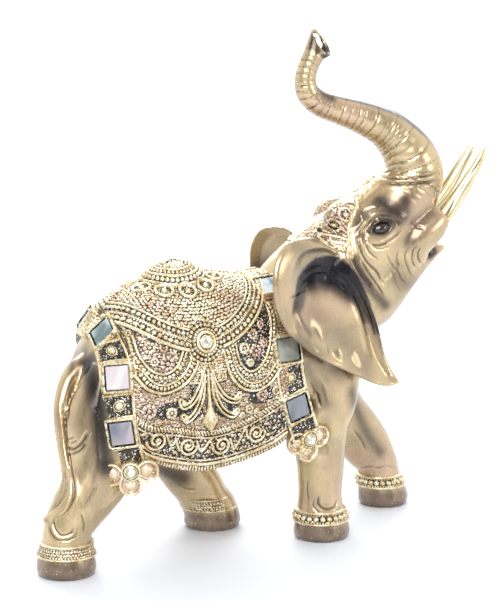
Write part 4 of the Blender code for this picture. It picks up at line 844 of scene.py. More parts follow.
blush, brushed, full_airbrush_and_shade, wash = [
    add_node(lacquer, "MapRange", {0: amount, 1: start, 2: end, 4: most}, interpolation_type="SMOOTHSTEP")
    for amount, start, end, most in ((rosy, 0.50, 0.66, 0.5), (strokes, 0.46, 0.74, 0.10),
                                     (airbrush_and_shade_share, 0.25, 0.9, 1.0), (antiqued, 0.15, 0.9, 0.8))]
for amount, coat in ((blush, "#c6a68e"), (brushed, "#dccba2"), (underside_shade, "#5c5c5e"),
                     (shares.outputs["Alpha"], feet), (thin_airbrush_and_shade, "#5f5145"), (full_airbrush_and_shade, "#17151a"),
                     (wash, "#3d2d22")):
    body = add_node(lacquer, "Mix", {0: amount, 6: body, 7: coat}, data_type="RGBA")

# Specks of gold glitter have fallen on the feet.
flecks = add_node(lacquer, "TexVoronoi", {"Vector": coords, "Scale": 1000 / 1.0})
size = add_node(lacquer, "MapRange", {0: flecks, 1: 0.14, 2: 0.30, 3: 1.0, 4: 0.0})
sparse = add_node(lacquer, "SeparateColor", {0: flecks.outputs["Color"]})
few = add_node(lacquer, "MapRange", {0: sparse, 1: 0.72, 2: 0.74})
fleck = add_node(lacquer, "Math", {0: size, 1: few}, operation="MULTIPLY")
fleck = add_node(lacquer, "Math", {0: fleck, 1: shares.outputs["Alpha"]}, operation="MULTIPLY")
body = add_node(lacquer, "Mix", {0: fleck, 6: body, 7: "#e9d794"}, data_type="RGBA")
gloss = add_node(lacquer, "MapRange", {0: strokes, 1: 0.35, 2: 0.70, 3: 0.26, 4: 0.33})
rise = add_node(lacquer, "Math", {0: grain, 1: 0.35, 2: strokes}, operation="MULTIPLY_ADD")
relief = add_node(lacquer, "Bump", {"Height": rise, "Strength": 0.05, "Distance": 0.0001})
shader = add_node(lacquer, "BsdfPrincipled", {"Base Color": body, "Roughness": gloss, "Normal": relief,
                                              "Metallic": 0.78, "Coat Weight": 0.35, "Coat Roughness": 0.12})
add_node(lacquer, "OutputMaterial", {0: shader})
animal.data.materials.append(lacquer)
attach(animal, "root")
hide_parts("elephant_casting")

# Eyes. In the real piece they are painted: near-black brown under the gloss coat.
eyeball = []
for side in (1, -1):
    rings = ball((0.0, 0.0, 0.0), (eye_half_long * 0.86, eye_half_tall * 0.92, 1.9))
    place = rings @ np.array([eye_along, eye_up, eye_normal]) + eye_place - eye_normal * 1.35
    eyeball.append(place if side == 1 else across_head(place))
eyes = piece_from("eyes", *skin_of(eyeball))
dark_eye = new_material("gloss_painted_eye")
ringed = add_node(dark_eye, "TexNoise", {"Scale": 1000 / 1.6, "Detail": 2.0})
iris = add_node(dark_eye, "Mix", {0: ringed, 6: "#120d0c", 7: "#3a2a22"}, data_type="RGBA")
shader = add_node(dark_eye, "BsdfPrincipled", {"Base Color": iris, "Roughness": 0.08, "Coat Weight": 0.6,
                                               "Coat Roughness": 0.05})
add_node(dark_eye, "OutputMaterial", {0: shader})
eyes.data.materials.append(dark_eye)
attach(eyes, "root")

# Tusks. Part of the casting, painted bright gilt. Their carving is a few grooves that run from root to tip.
tusk = [
    (76, 8.6, 127.5, 3.2), (81, 8.4, 133.6, 3.1), (86.8, 8, 141.2, 2.8), (92.6, 7.6, 150, 2.3),
    (96.4, 7.2, 156.4, 1.8), (98.2, 7, 159.6, 1.1),
]
tusk_steps, tusk_sides = 90, 56
rings = tube(tusk, tusk_steps, tusk_sides)
middle = rings.mean(axis=1)[:, None, :]
turn = full_turn(tusk_sides)[None, :, None]
sway = 0.5 * np.sin(np.linspace(0, 9, tusk_steps))[:, None, None]
grooves = np.abs(np.sin(turn * 2.0 + 0.8 + sway)) ** 9
rings = middle + (rings - middle) * (1.14 - 0.12 * grooves)
tusks = piece_from("tusks", *skin_of([head_turned(r) for r in both_sides(rings)]))
dark = np.concatenate([grooves.reshape(-1), [0.0, 0.0]])
keep_paint(tusks, np.repeat(np.concatenate([dark, dark])[:, None], 4, axis=1))
gilt = new_material("bright_gilt_paint")
at = add_node(gilt, "TexCoord").outputs["Object"]
rub = add_node(gilt, "TexNoise", {"Vector": at, "Scale": 1000 / 7.0, "Detail": 3.0})
wash = add_node(gilt, "SeparateColor", {0: add_node(gilt, "VertexColor", layer_name="paint")})
gold = add_node(gilt, "Mix", {0: rub, 6: "#d2bd87", 7: "#f0e6c4"}, data_type="RGBA")
thin_wash = add_node(gilt, "Math", {0: wash, 1: 0.75}, operation="MULTIPLY")
gold = add_node(gilt, "Mix", {0: thin_wash, 6: gold, 7: "#7d6645"}, data_type="RGBA")
gloss = add_node(gilt, "MapRange", {0: rub, 1: 0.3, 2: 0.7, 3: 0.2, 4: 0.32})
shader = add_node(gilt, "BsdfPrincipled", {"Base Color": gold, "Roughness": gloss, "Metallic": 0.95,
                                           "Coat Weight": 0.4, "Coat Roughness": 0.1})
add_node(gilt, "OutputMaterial", {0: shader})
tusks.data.materials.append(gilt)
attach(tusks, "root")

# Blanket and saddle cloth. Cast with the body: beads, cords, flowers and scrolls carved in the model, then
# painted gold with glitter in the varnish, copper on some panels, and black in the grounds and between beads.
blanket_columns, blanket_rows = 262, 345
saddle_middle, saddle_radius = (-37.0, 0.0), 34.8
dome_middle, dome_reach, dome_height = -38.0, 13.0, 5.2
medallion, medallion_radius = (-37.0, 31.5), 5.8
band_top = [(-66.5, 57), (-61.2, 62), (-53.2, 64.2), (-38.2, 67.2), (-22.8, 66.2), (-6, 60.6), (-1, 58)]
band_foot = [(-66, 68.6), (-60.5, 73.4), (-51, 77.4), (-38.2, 79.8), (-22.2, 79.2), (-8.8, 76.6), (-1, 73.4)]
scrolls = [(-58.4, 67.4), (-45.4, 71.6), (-30.8, 73), (-15.4, 70.9)]
left_panel = [(-64, 26), (-63.6, 33.5), (-60.2, 39.6), (-55, 41.8), (-50.2, 40), (-47.6, 36), (-46.2, 32)]
left_swag = [(-65.8, 41), (-61.5, 46.6), (-54.6, 49), (-47, 46.6), (-42.4, 41.4), (-40.4, 36.6)]
right_panel = [(-24.2, 33.6), (-22.9, 40.6), (-18.6, 45.2), (-13.4, 43.6), (-9.4, 37.6), (-6.6, 27), (-7, 22)]
right_swag = [(-29.6, 36.2), (-27.4, 44.6), (-22.6, 50.8), (-16.4, 53.2), (-9.8, 51.4), (-4.4, 46)]
palmette = [
    [(-39.4, 42.4), (-40.6, 48), (-43.6, 53.6), (-47.4, 55.6), (-48.6, 53.2)],
    [(-38.6, 44), (-39.8, 52), (-42.4, 58), (-46, 61.2), (-47.6, 59.4)],
    [(-35.2, 42.4), (-33.4, 48.4), (-29.4, 54), (-24.6, 56), (-23.4, 53.6)],
    [(-35.8, 44), (-34, 52.4), (-30.6, 58.6), (-26.2, 61.6), (-24.4, 59.8)],
]
palmette_balls = [(-47.4, 54.2), (-46.4, 60.2), (-24.4, 54.8), (-25.4, 60.6)]
lance = [(-37.2, 42), (-36.9, 50), (-36.2, 58), (-35.7, 67.2)]
lance_widths = [(42, 1.6), (54, 1.8), (57, 2.6), (62.6, 7), (67.2, 0.4)]


def within(line, x, v):
    """Whether each place of the plan lies inside a closed line."""
    odd = np.zeros(x.shape, bool)
    for (ax, av), (bx, bv) in zip(line, np.roll(line, -1, axis=0)):
        if av != bv:
            odd ^= ((av > v) != (bv > v)) & (x < (bx - ax) * (v - av) / (bv - av) + ax)
    return odd


def cord(away, width, run=None, twist=1.6):
    """Profile of a round cord, 0 beside it and 1 on top, laid up with a twist where a run is given."""
    profile = np.sqrt(np.clip(1 - (2 * away / width) ** 2, 0.0, 1.0))
    if run is not None:
        profile = profile * (0.72 + 0.28 * np.cos(2 * math.pi * (run / twist + 0.9 * away / width)))
    return profile


def bead_row(away, run, pitch, width):
    """Profile of one row of round beads."""
    across = (run / pitch % 1.0 - 0.5) * pitch
    return np.sqrt(np.clip(1 - (away ** 2 + across ** 2) / (width / 2) ** 2, 0.0, 1.0))


def pebbles(a, b, pitch, size=0.56, jitter=0.16):
    """Profile of beads packed close in rows: a counts the rows and b runs along them, in millimetres."""
    row, best = np.floor(a / pitch), np.zeros(np.shape(a))
    for r in (row - 1, row, row + 1):
        shift = 0.5 * (r % 2)
        column = np.floor(b / pitch - shift)
        for c in (column - 1, column, column + 1):
            scatter = np.abs(np.sin(r * 12.9898 + c * 78.233) * 437.58)
            middle_a = r + 0.5 + 2 * jitter * (scatter % 1.0 - 0.5)
            middle_b = c + 0.5 + shift + 2 * jitter * (scatter * 7.13 % 1.0 - 0.5)
            away = np.hypot(a / pitch - middle_a, b / pitch - middle_b)
            best = np.maximum(best, 1 - (away / (size * (0.85 + 0.3 * (scatter * 3.7 % 1.0)))) ** 2)
    return np.sqrt(best)


def flower(place, radius, x, v, petals=8, turned=0.0):
    """Profile of a flower: a ball in the middle and a ring of petals."""
    across, down = x - place[0], v - place[1]
    away, turn = np.hypot(across, down) / radius, np.arctan2(down, across)
    petal = (0.35 + 0.65 * np.abs(np.cos((turn + turned) * petals / 2)) ** 0.7) * cord(away - 0.68, 0.66)
    return np.maximum(0.8 * petal, np.sqrt(np.clip(1 - (away / 0.3) ** 2, 0.0, 1.0)))


def near_mean(values, reach):
    """Mean of a grid over a square window, reach points each way."""
    for axis in (0, 1):
        ends = [(reach + 1, reach) if k == axis else (0, 0) for k in (0, 1)]
        total = np.cumsum(np.pad(values, ends, mode="edge"), axis=axis)
        size, window = total.shape[axis], 2 * reach + 1
        ahead, behind = np.take(total, range(window, size), axis), np.take(total, range(size - window), axis)
        values = (ahead - behind) / window
    return values


class Carving:
    """Relief over a grid: its height in millimetres, and how far it is copper, dark below and black."""

    def __init__(self, shape):
        self.height, self.copper = np.zeros(shape), np.zeros(shape)
        self.deep, self.black = np.full(shape, 0.5), np.zeros(shape)

    def ground(self, where, height, copper=0.0, deep=0.5, black=0.0):
        """Lay an area at a height."""
        layers = (self.height, self.copper, self.deep, self.black)
        for layer, value in zip(layers, (height, copper, deep, black)):
            layer[where] = np.broadcast_to(value, where.shape)[where]

    def raised(self, profile, foot, rise, copper=0.0, deep=0.5, black=0.0, where=True):
        """Raise a profile of 0 to 1 from a foot, where it stands over what is there."""
        top = foot + rise * profile
        higher = (profile > 0.05) & (top > self.height) & where
        self.ground(higher, top, copper, deep, black)

    def paint(self, reach=3, contrast=0.42):
        """Shares for the paint: crest over hollow, copper, deep black in the hollows, and black ground."""
        crest = np.clip(0.5 + (self.height - near_mean(self.height, reach)) / contrast, 0.0, 1.0)
        return np.stack([crest, self.copper, self.deep, np.clip(near_mean(self.black, 1), 0, 1)], axis=-1)


plan = cloth_plan(blanket_columns, blanket_rows)
x, v = plan[..., 0], plan[..., 1]
blanket = Carving(x.shape)
everywhere = np.ones(x.shape, bool)

# Lower field: copper-pink pebbles, black round the palmette, flowers.
mottle = 0.5 + 0.5 * np.sin(x * 0.43 + 1.0) * np.sin(v * 0.37 + x * 0.11)
blanket.ground(everywhere, 0.15 + 0.30 * pebbles(v, x, 0.95), 0.45 + 0.4 * mottle, 0.6)
pocket = np.zeros(x.shape, bool)
for px, pv, half_x, half_v in ((-44.0, 57.0, 5.2, 4.6), (-29.0, 57.6, 5.0, 4.4), (-53.0, 56.6, 6.0, 3.4),
                               (-13.0, 55.6, 6.4, 3.6), (-43.0, 50.0, 1.8, 5.0)):
    pocket |= np.hypot((x - px) / half_x, (v - pv) / half_v) < 1
blanket.ground(pocket, 0.10 + 0.12 * pebbles(v, x, 0.8), 0.2, 1.0, 0.92)
for place, radius, copper in (((-61.4, 55.4), 3.0, 0.9), ((-52.4, 57.6), 2.4, 0.2), ((-12.8, 55.6), 2.6, 0.9),
                              ((-6.4, 55.0), 2.0, 0.6), ((-58.0, 60.4), 1.5, 0.6), ((-18.6, 60.4), 1.9, 0.1),
                              ((-21.6, 62.6), 1.2, 0.0), ((-15.4, 61.8), 1.2, 0.0), ((-9.4, 59.4), 1.4, 0.5)):
    blanket.raised(flower(place, radius, x, v), 0.25, 0.75, copper, 0.9)

# Band under the field: S-scrolls and small beads on black, between two cords, and a ribbed hem below.
top_line, foot_line = smooth_line(band_top, 60), smooth_line(band_foot, 60)
from_top, top_run = line_measure(top_line, x, v)
from_foot, foot_run = line_measure(foot_line, x, v)
below_top, below_foot = from_top < 0, from_foot < 0
blanket.ground(below_top, 0.05 + 0.28 * pebbles(v, x, 1.15, 0.42), 0.25, 1.0, 0.85)
blanket.raised(pebbles(v + 0.3, x, 2.1, 0.26, 0.3), 0.1, 0.5, 0.3, 1.0, 0.0, below_top & ~below_foot)
scroll_turns = 1.65
for number, (cx, cv) in enumerate(scrolls):
    flip = 1 if number % 2 else -1
    turn = np.linspace(0.0, scroll_turns * 2 * math.pi, 60)
    reach = 3.9 - 0.30 * turn
    spiral = np.stack([cx + reach * np.cos(turn) * flip, cv + reach * np.sin(turn)], axis=1)
    blanket.raised(cord(line_measure(spiral, x, v)[0], 1.25), 0.25, 1.05, 0.12, 1.0)
    blanket.raised(cord(np.hypot(x - cx, v - cv), 1.9), 0.3, 1.1, 0.1)
    for bud in ((4.9, -3.0), (-4.9, -3.2), (5.6, 1.6), (-5.6, 2.0)):
        blanket.raised(cord(np.hypot((x - cx - bud[0]) / 1.5, v - cv - bud[1]), 1.5), 0.2, 0.7, 0.3, 1.0)
for (ax, av), (bx, bv) in zip(scrolls[:-1], scrolls[1:]):
    vine = smooth_line([(ax + 3.7, av - 1.6), (ax + 5.4, av + 2.6), ((ax + bx) / 2, (av + bv) / 2 + 0.6),
                        (bx - 5.2, bv - 2.4), (bx - 3.7, bv + 1.4)], 24)
    blanket.raised(cord(line_measure(vine, x, v)[0], 1.2), 0.25, 0.95, 0.12, 1.0)
blanket.ground(below_foot, 0.25 + 0.45 * np.abs(np.cos(math.pi * foot_run / 1.25)), 0.25, 0.35)
blanket.raised(cord(from_top, 2.3, top_run, 1.35), 0.2, 0.95, 0.25, 0.8)
blanket.raised(cord(from_top + 1.9, 0.9), 0.2, 0.5, 0.3, 0.9)
blanket.raised(cord(from_foot, 1.5), 0.3, 0.75, 0.15, 0.6)
blanket.raised(cord(from_foot - 1.5, 0.8), 0.2, 0.5, 0.2, 0.9)

# Swags: two pockets edged with rows of beads and a cord, the left one copper-pink, the right one black.
fan = (v > 33.0) & (np.abs(x - saddle_middle[0]) < 8.0) & (v < 47.0)
blanket.ground(fan, 0.75 + 0.4 * pebbles(v, x, 1.0), 0.2, 0.7)
for panel, swag, keep, copper, black in ((left_panel, left_swag, x < -38.0, 0.75, 0.0),
                                         (right_panel, right_swag, x > -31.0, 0.35, 0.95)):
    rim, outer = smooth_line(panel, 60), smooth_line(swag, 60)
    closed = np.vstack([outer, [(outer[-1][0], 20.0), (outer[0][0], 20.0)]])
    inside_swag = within(closed, x, v) & keep
    from_rim, rim_run = line_measure(rim, x, v)
    from_outer, outer_run = line_measure(outer, x, v)
    from_rim, from_outer = np.abs(from_rim), np.abs(from_outer)
    blanket.ground(inside_swag, 0.7 + 0.3 * pebbles(v, x, 1.0), 0.15, 0.9, 0.25)
    blanket.raised(bead_row(from_rim - 1.5, rim_run, 1.5, 1.35), 0.75, 0.65, 0.05, 1.0, 0.0, inside_swag)
    blanket.raised(bead_row(from_outer - 1.7, outer_run, 1.8, 1.6), 0.75, 0.7, 0.0, 1.0, 0.0, inside_swag)
    blanket.raised(cord(from_outer - 3.0, 0.8), 0.75, 0.45, 0.0, 0.8, 0.0, inside_swag)
    inner = within(np.vstack([rim, [(rim[-1][0], 18.0), (rim[0][0], 18.0)]]), x, v) & keep
    blanket.ground(inner, 0.40 + (0.30 if black < 0.5 else 0.14) * pebbles(v, x, 1.05), copper, 1.0, black)
    blanket.raised(cord(from_rim, 0.9), 0.7, 0.45, 0.0, 0.5, 0.0, keep)
    blanket.raised(cord(from_outer, 1.3), 0.5, 0.95, 0.0, 0.5, 0.0, keep & (v > 30.0))
for place, radius, copper in (((-53.6, 38.2), 3, 0.95), ((-59.6, 31.4), 2.4, 0.6), ((-54.4, 32.2), 1.9, 0.7),
                              ((-50.6, 33.6), 1.6, 0.7), ((-58.6, 36.8), 1.7, 0.5), ((-15.4, 37.8), 2.5, 1),
                              ((-20.4, 36.2), 2.3, 0.2), ((-18, 42), 1.7, 0), ((-15.8, 31.6), 2.1, 0.8),
                              ((-11.4, 35.4), 1.8, 0.9), ((-11.8, 28.4), 1.6, 0.8)):
    blanket.raised(flower(place, radius, x, v, turned=place[1]), 0.45, 0.8, copper, 1.0)
dotted = smooth_line([(-21, 40), (-17, 35), (-10, 34), (-9, 38), (-13, 41), (-17, 40)], 30)
blanket.raised(pebbles(v, x, 1.5, 0.3, 0.3), 0.45, 0.4, 0.7, 1.0, 0.0, within(dotted, x, v))

# Palmette under the medallion: double-lined curls with balls at their ends, and a lance leaf.
for curl in palmette:
    away, run = line_measure(smooth_line(curl, 30), x, v)
    for shift in (-0.75, 0.75):
        blanket.raised(cord(away - shift * np.clip(run / 8.0, 0.3, 1.0), 1.15), 0.4, 1.1, 0.0, 0.8)
for bx, bv in palmette_balls:
    blanket.raised(cord(np.hypot(x - bx, v - bv), 3.0), 0.4, 1.3, 0.1, 0.6)
away, run = line_measure(smooth_line(lance, 30), x, v)
leaf_half = np.interp(v, *zip(*lance_widths)) / 2
blanket.raised(np.clip(1 - np.abs(away) / leaf_half, 0.0, 1.0) ** 0.7, 0.5, 1.5, -0.6, 0.3)
for shift in (-2.4, 2.4):
    stalk = smooth_line([(-37.2 + shift * 0.5, 41.0), (-37.0 + shift, 48.0), (-36.8 + shift * 0.9, 53.0)], 12)
    blanket.raised(cord(line_measure(stalk, x, v)[0], 0.9), 0.5, 0.8, 0.1, 0.6)

# Saddle cloth: a cobbled field inside rows of beads and cords, with five rings at the foot of the crown.
from_middle = np.hypot(x - saddle_middle[0], v - saddle_middle[1])
angle = np.arctan2(x - saddle_middle[0], v - saddle_middle[1])
on_saddle = from_middle < saddle_radius
blanket.ground(on_saddle, 0.75, 0.1, 1.0, 0.35)
sag_centre = -34.0
sag = np.hypot(x - saddle_middle[0], v - sag_centre)
sagging = pebbles(sag, np.arctan2(x - saddle_middle[0], v - sag_centre) * 46.0, 1.34, 0.53, 0.20)
blush = 0.30 + 0.35 * np.sin(x * 0.19 + 2.4) * np.sin(v * 0.23 + 0.6)
blanket.ground(from_middle < 26.6, 0.75 + 0.60 * sagging, blush, 1.0)
for radius, pitch, width in ((28.9, 1.95, 1.65), (32.9, 2.25, 1.95)):
    blanket.raised(bead_row(from_middle - radius, angle * radius, pitch, width), 0.65, 1.05, 0.05, 1.0)
for radius in (30.2, 31.6):
    blanket.raised(bead_row(from_middle - radius, angle * radius, 1.0, 0.8), 0.6, 0.5, 0.2, 1.0)
for radius, width, rise in ((27.2, 1.0, 0.75), (30.9, 0.8, 0.55), (34.8, 1.5, 1.1)):
    blanket.raised(cord(from_middle - radius, width), 0.7, rise, 0.0, 0.4)
from_crown = np.hypot(x - dome_middle, v - spine_at(x))
crown_turn = np.arctan2(v - spine_at(x), x - dome_middle)
blanket.ground(from_crown < 12.4, 0.6, 0.1, 1.0, 0.4)
for radius, pitch, width in ((10.9, 1.9, 1.7), (8.0, 1.5, 1.3), (5.4, 1.3, 1.1)):
    blanket.raised(bead_row(from_crown - radius, crown_turn * radius, pitch, width), 0.6, 0.9, 0.1, 1.0)
for radius in (12.4, 9.4, 6.7):
    blanket.raised(cord(from_crown - radius, 0.95), 0.6, 0.75, 0.0, 0.4)
fluted = np.clip(1 - (from_crown / 4.4) ** 2, 0, 1) * (0.75 + 0.25 * np.cos(crown_turn * 8))
blanket.raised(fluted, 0.6, 1.0, 0.1, 0.6)
for cx, cv in ((-53.4, 3.4), (-47.2, 9.0), (-38.6, 10.6), (-30.2, 8.8), (-23.6, 3.2)):
    away = np.hypot(x - cx, v - cv)
    blanket.ground(away < 3.9, 0.6, 0.3, 1.0, 0.8)
    blanket.raised(cord(away - 3.1, 1.4), 0.75, 1.2, -0.1, 0.5)
    blanket.raised(cord(away, 2.5), 0.7, 1.2, -0.3, 0.8)
    blanket.raised(bead_row(away - 1.75, np.arctan2(v - cv, x - cx) * 1.75, 1.0, 0.7), 0.7, 0.5, 0.3, 1.0)
crown = np.clip(1 - ((x - dome_middle) / dome_reach) ** 2 - ((v - spine_at(x)) / dome_reach) ** 2, 0.0, 1.0)

# Medallion: a collar for the stone inside a ring of beads.
away = np.hypot(x - medallion[0], v - medallion[1])
around = np.arctan2(v - medallion[1], x - medallion[0])
boss = 2.0 * np.clip(1.5 - 1.5 * (away / medallion_radius) ** 2, 0, 1)
blanket.ground(away < medallion_radius, boss, 0.0, 0.6)
blanket.ground((away > 5.5) & (away < 7.6), 0.5, 0.2, 1.0, 0.5)
blanket.raised(bead_row(away - 6.6, around * 6.6, 1.73, 1.55), 0.6, 1.0, 0.05, 0.7)
blanket.raised(bead_row(away - 4.9, around * 4.9, 1.28, 1.15), 0.9, 0.95, 0.0, 0.6)
blanket.raised(cord(away - 3.6, 1.1), 1.6, 0.7, 0.0, 0.3)
blanket.ground(away < 3.0, 0.95, 0.0, 0.2)
paint = blanket.paint()
spine_row = bead_row(v - spine_at(x), x, 1.7, 1.5)
blanket.raised(spine_row, blanket.height, 0.7, 0.0, 0.6)
lift = cloth_lift + blanket.height + dome_height * crown ** 0.8


def sheet_on_flank(name, plan, lift, paint, side, sunk=-3.4):
    """A sheet of relief raised over the flank, with its edges turned down into the backing."""
    plan, lift = np.pad(plan, ((1, 1), (1, 1), (0, 0)), mode="edge"), np.pad(lift, 1, constant_values=sunk)
    points = on_flank(plan, lift) * side
    count, columns = lift.shape
    index = np.arange(count * columns).reshape(count, columns)
    quads = np.stack([index[:-1, :-1], index[1:, :-1], index[1:, 1:], index[:-1, 1:]], axis=-1).reshape(-1, 4)
    if side[1] < 0:
        quads = quads[:, ::-1]
    piece = piece_from(name, points.reshape(-1, 3), quads.tolist(), turn_out=False)
    keep_paint(piece, np.pad(paint, ((1, 1), (1, 1), (0, 0)), mode="edge").reshape(-1, 4))
    return piece


# Glitter varnish over gold paint: worn bright on the crests, dark wash in the hollows, copper and black by
# panel. It sparkles in single points. Real glitter is about 0.2 mm; it is drawn at 0.42 mm to show.
glitter_gold = new_material("glitter_gold_and_copper_paint")
at = add_node(glitter_gold, "TexCoord").outputs["Object"]
shares = add_node(glitter_gold, "VertexColor", layer_name="paint")
split = add_node(glitter_gold, "SeparateColor", {0: shares})
patches = add_node(glitter_gold, "TexNoise", {"Vector": at, "Scale": 1000 / 5.0, "Detail": 3.0})
specks = add_node(glitter_gold, "TexVoronoi", {"Vector": at, "Scale": 1000 / 0.42})
speck = add_node(glitter_gold, "SeparateColor", {0: specks.outputs["Color"]})
worn = add_node(glitter_gold, "MapRange", {0: patches, 1: 0.40, 2: 0.60}, interpolation_type="SMOOTHSTEP")
gold = add_node(glitter_gold, "Mix", {0: worn, 6: "#cdb583", 7: "#e8dcb8"}, data_type="RGBA")
rose = add_node(glitter_gold, "Mix", {0: worn, 6: "#a47a62", 7: "#c9a896"}, data_type="RGBA")
top = add_node(glitter_gold, "Mix", {0: split.outputs[1], 6: gold, 7: rose}, data_type="RGBA")
hollow = add_node(glitter_gold, "Mix", {0: split.outputs[2], 6: "#75603f", 7: "#1c1714"}, data_type="RGBA")
crest = add_node(glitter_gold, "MapRange", {0: split, 1: 0.22, 2: 0.72}, interpolation_type="SMOOTHSTEP")
face = add_node(glitter_gold, "Mix", {0: crest, 6: hollow, 7: top}, data_type="RGBA")
face = add_node(glitter_gold, "Mix", {0: shares.outputs["Alpha"], 6: face, 7: "#161415"}, data_type="RGBA")
bright = add_node(glitter_gold, "MapRange", {0: speck, 1: 0.86, 2: 0.92, 4: 0.85})
face = add_node(glitter_gold, "Mix", {0: bright, 6: face, 7: "#fff8e4"}, data_type="RGBA")
rough = add_node(glitter_gold, "MapRange", {0: speck.outputs[1], 1: 0.2, 2: 0.9, 3: 0.20, 4: 0.50})
relief = add_node(glitter_gold, "Bump", {"Height": speck.outputs[2], "Strength": 0.5, "Distance": 0.00012})
shader = add_node(glitter_gold, "BsdfPrincipled", {"Base Color": face, "Roughness": rough, "Normal": relief,
                                                   "Metallic": 0.7, "Coat Weight": 0.35,
                                                   "Coat Roughness": 0.15})
add_node(glitter_gold, "OutputMaterial", {0: shader})
for word, side in sides.items():
    piece = sheet_on_flank(f"blanket_{word}", plan, lift, paint, side)
    piece.data.materials.append(glitter_gold)
    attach(piece, "root")

# Straps. Cast bands with raised rails that hold a row of framed tile seats, with a black cell and a
# pearl-like stud between two seats, and a cluster of beads where each strap crosses the back.
strap_columns, strap_rows, frame_half, seat_half = 50, 300, 6.3, 5.0


def placed(point, across, down, out, side):
    """Axes and place, as columns, of something set on the left flank, taken to its side."""
    return np.stack([across, down, out, point], axis=1) * side[:, None]


def strap_place(strap, v, word):
    """Where something is set on a strap, turned with the strap."""
    line = strap_line(strap, word, 240)
    i = int(np.clip(np.argmin(np.abs(line[:, 1] - v)), 1, len(line) - 2))
    point, forth, down, out = flank_frame(line[i, 0], line[i, 1])
    step = line[i + 1] - line[i - 1]
    lean = math.atan2(step[0] * float(stretch_at(line[i, 0], line[i, 1])), step[1])
    across = forth * math.cos(lean) - down * math.sin(lean)
    return placed(point, across, down * math.cos(lean) + forth * math.sin(lean), out, sides[word])


def set_at(place, points):
    """Points of something's own frame, moved to its place."""
    return np.asarray(points, float) @ place[:, :3].T + place[:, 3]


def rough_noise(points, amount, size):
    """A little unevenness, the same each time."""
    px, py, pz = np.moveaxis(points, -1, 0)
    wave = np.sin(px / size) * np.sin(py / size + 1.3) * np.sin(pz / size + 2.1)
    finer = np.sin(px * 2.7 / size + 0.4) * np.sin(py * 2.3 / size) * np.sin(pz * 2.9 / size)
    return amount * (wave + 0.6 * finer)


def level_ring(turn, half_x, half_y, high):
    """A ring of points about the upright axis of something's own frame."""
    return np.stack([half_x * np.cos(turn), half_y * np.sin(turn), high + 0.0 * turn], axis=1)


def frame_rings():
    """A square frame about a tile seat, as rings from its inner foot over its top to its outer foot."""
    turn, squareness = full_turn(96), 14
    cos, sin = np.abs(np.cos(turn)) ** squareness, np.abs(np.sin(turn)) ** squareness
    profile = [(seat_half + more, high)
               for more, high in ((0.0, 1.2), (0.04, 3.4), (0.2, 3.78), (0.5, 3.95), (0.85, 3.92))]
    profile += [(frame_half - 0.12, 3.6), (frame_half, 3.2), (frame_half, -1.0)]
    rings = []
    for half, high in profile:
        square = half / (cos + sin) ** (1 / squareness)
        ring = level_ring(turn, square, square, high)
        ring[:, 2] += rough_noise(ring + half * 3.0, 0.16 if high > 3.3 else 0.0, 0.55)
        rings.append(ring)
    return np.array(rings)


frame_shape = frame_rings()
for word, side in sides.items():
    for name, parts in straps.items():
        offsets = np.linspace(-strap_half, strap_half, strap_columns)
        plan = strap_plan(name, word, strap_rows, offsets)
        middle = plan[:, strap_columns // 2]
        run = np.concatenate([[0.0], np.cumsum(np.hypot(*np.diff(middle, axis=0).T))])
        a, s = np.broadcast_arrays(offsets[None, :], run[:, None])
        band = Carving(a.shape)
        band.ground(np.abs(a) < 5.0, 0.10 + 0.16 * pebbles(s, a, 0.9), 0.3, 1.0, 0.9)
        rail = cord(np.abs(a) - 5.65, 1.5) * (0.85 + 0.15 * np.sin(s * 3.1) * np.sin(s * 1.7 + a))
        band.raised(rail, 0.2, 0.85, 0.1, 0.6)
        seats, cells = [[float(np.interp(v, middle[:, 1], run)) for v in parts[kind]]
                        for kind in ("tiles", "studs")]
        for seat in seats:
            band.raised(cord(np.abs(s - seat) - 6.2, 1.3), 0.2, 0.8, 0.1, 0.8, 0.0, np.abs(a) < 5.8)
            in_seat = (np.abs(a) < seat_half + 0.3) & (np.abs(s - seat) < seat_half + 0.3)
            band.ground(in_seat, -1.3, 0.0, 1.0, 1.0)
        for cell in cells:
            away = np.hypot(a, s - cell)
            band.raised(cord(away - 1.95, 0.7), 0.1, 0.55, 0.1, 0.9)
            band.raised(cord(away, 3.2), 0.1, 1.35, -0.5, 0.2)
            corner_bead = cord(np.hypot(np.abs(a) - 3.6, np.abs(s - cell) - 3.4), 0.9)
            band.raised(corner_bead, 0.1, 0.4, 0.2, 1.0)
        head = s < seats[0] - 7.0
        band.raised(pebbles(s, a, 2.3, 0.5, 0.1), 0.4, 1.2, 0.05, 0.8, 0.0, head & (np.abs(a) < 5.4))
        band.ground(s > run[-1] - 0.6, 0.2, 0.2, 0.5)
        lift = 2.2 + band.height
        paint = band.paint()
        if name == "front":
            bar = (s > seats[0] + 5.4) & (s < seats[1] - 5.4) & (np.abs(a) > 1.0)
            paint[..., 1] = np.where(bar, 1.0, paint[..., 1])
            paint[..., 3] = np.where(bar, paint[..., 3] * 0.5, paint[..., 3])
        piece = sheet_on_flank(f"strap_{name}_{word}", plan, lift, paint, side)
        piece.data.materials.append(glitter_gold)
        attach(piece, "root")
        frames = [set_at(strap_place(name, v, word), frame_shape) for v in parts["tiles"]]
        verts, faces = skin_of(frames)
        faces = [face for face in faces if len(face) == 4]
        piece = piece_from(f"tile_frames_{name}_{word}", verts, faces)
        shade = np.tile([0.62, 0.05, 0.6, 0.0], (len(verts), 1))
        ring_index = np.arange(len(verts)) % (frame_shape.shape[0] * frame_shape.shape[1] + 2)
        shade[ring_index < 2 * frame_shape.shape[1], :] = (0.1, 0.0, 1.0, 0.9)
        shade[:, 0] += rough_noise(verts, 0.35, 0.5)
        keep_paint(piece, shade)
        piece.data.materials.append(glitter_gold)
        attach(piece, "root")

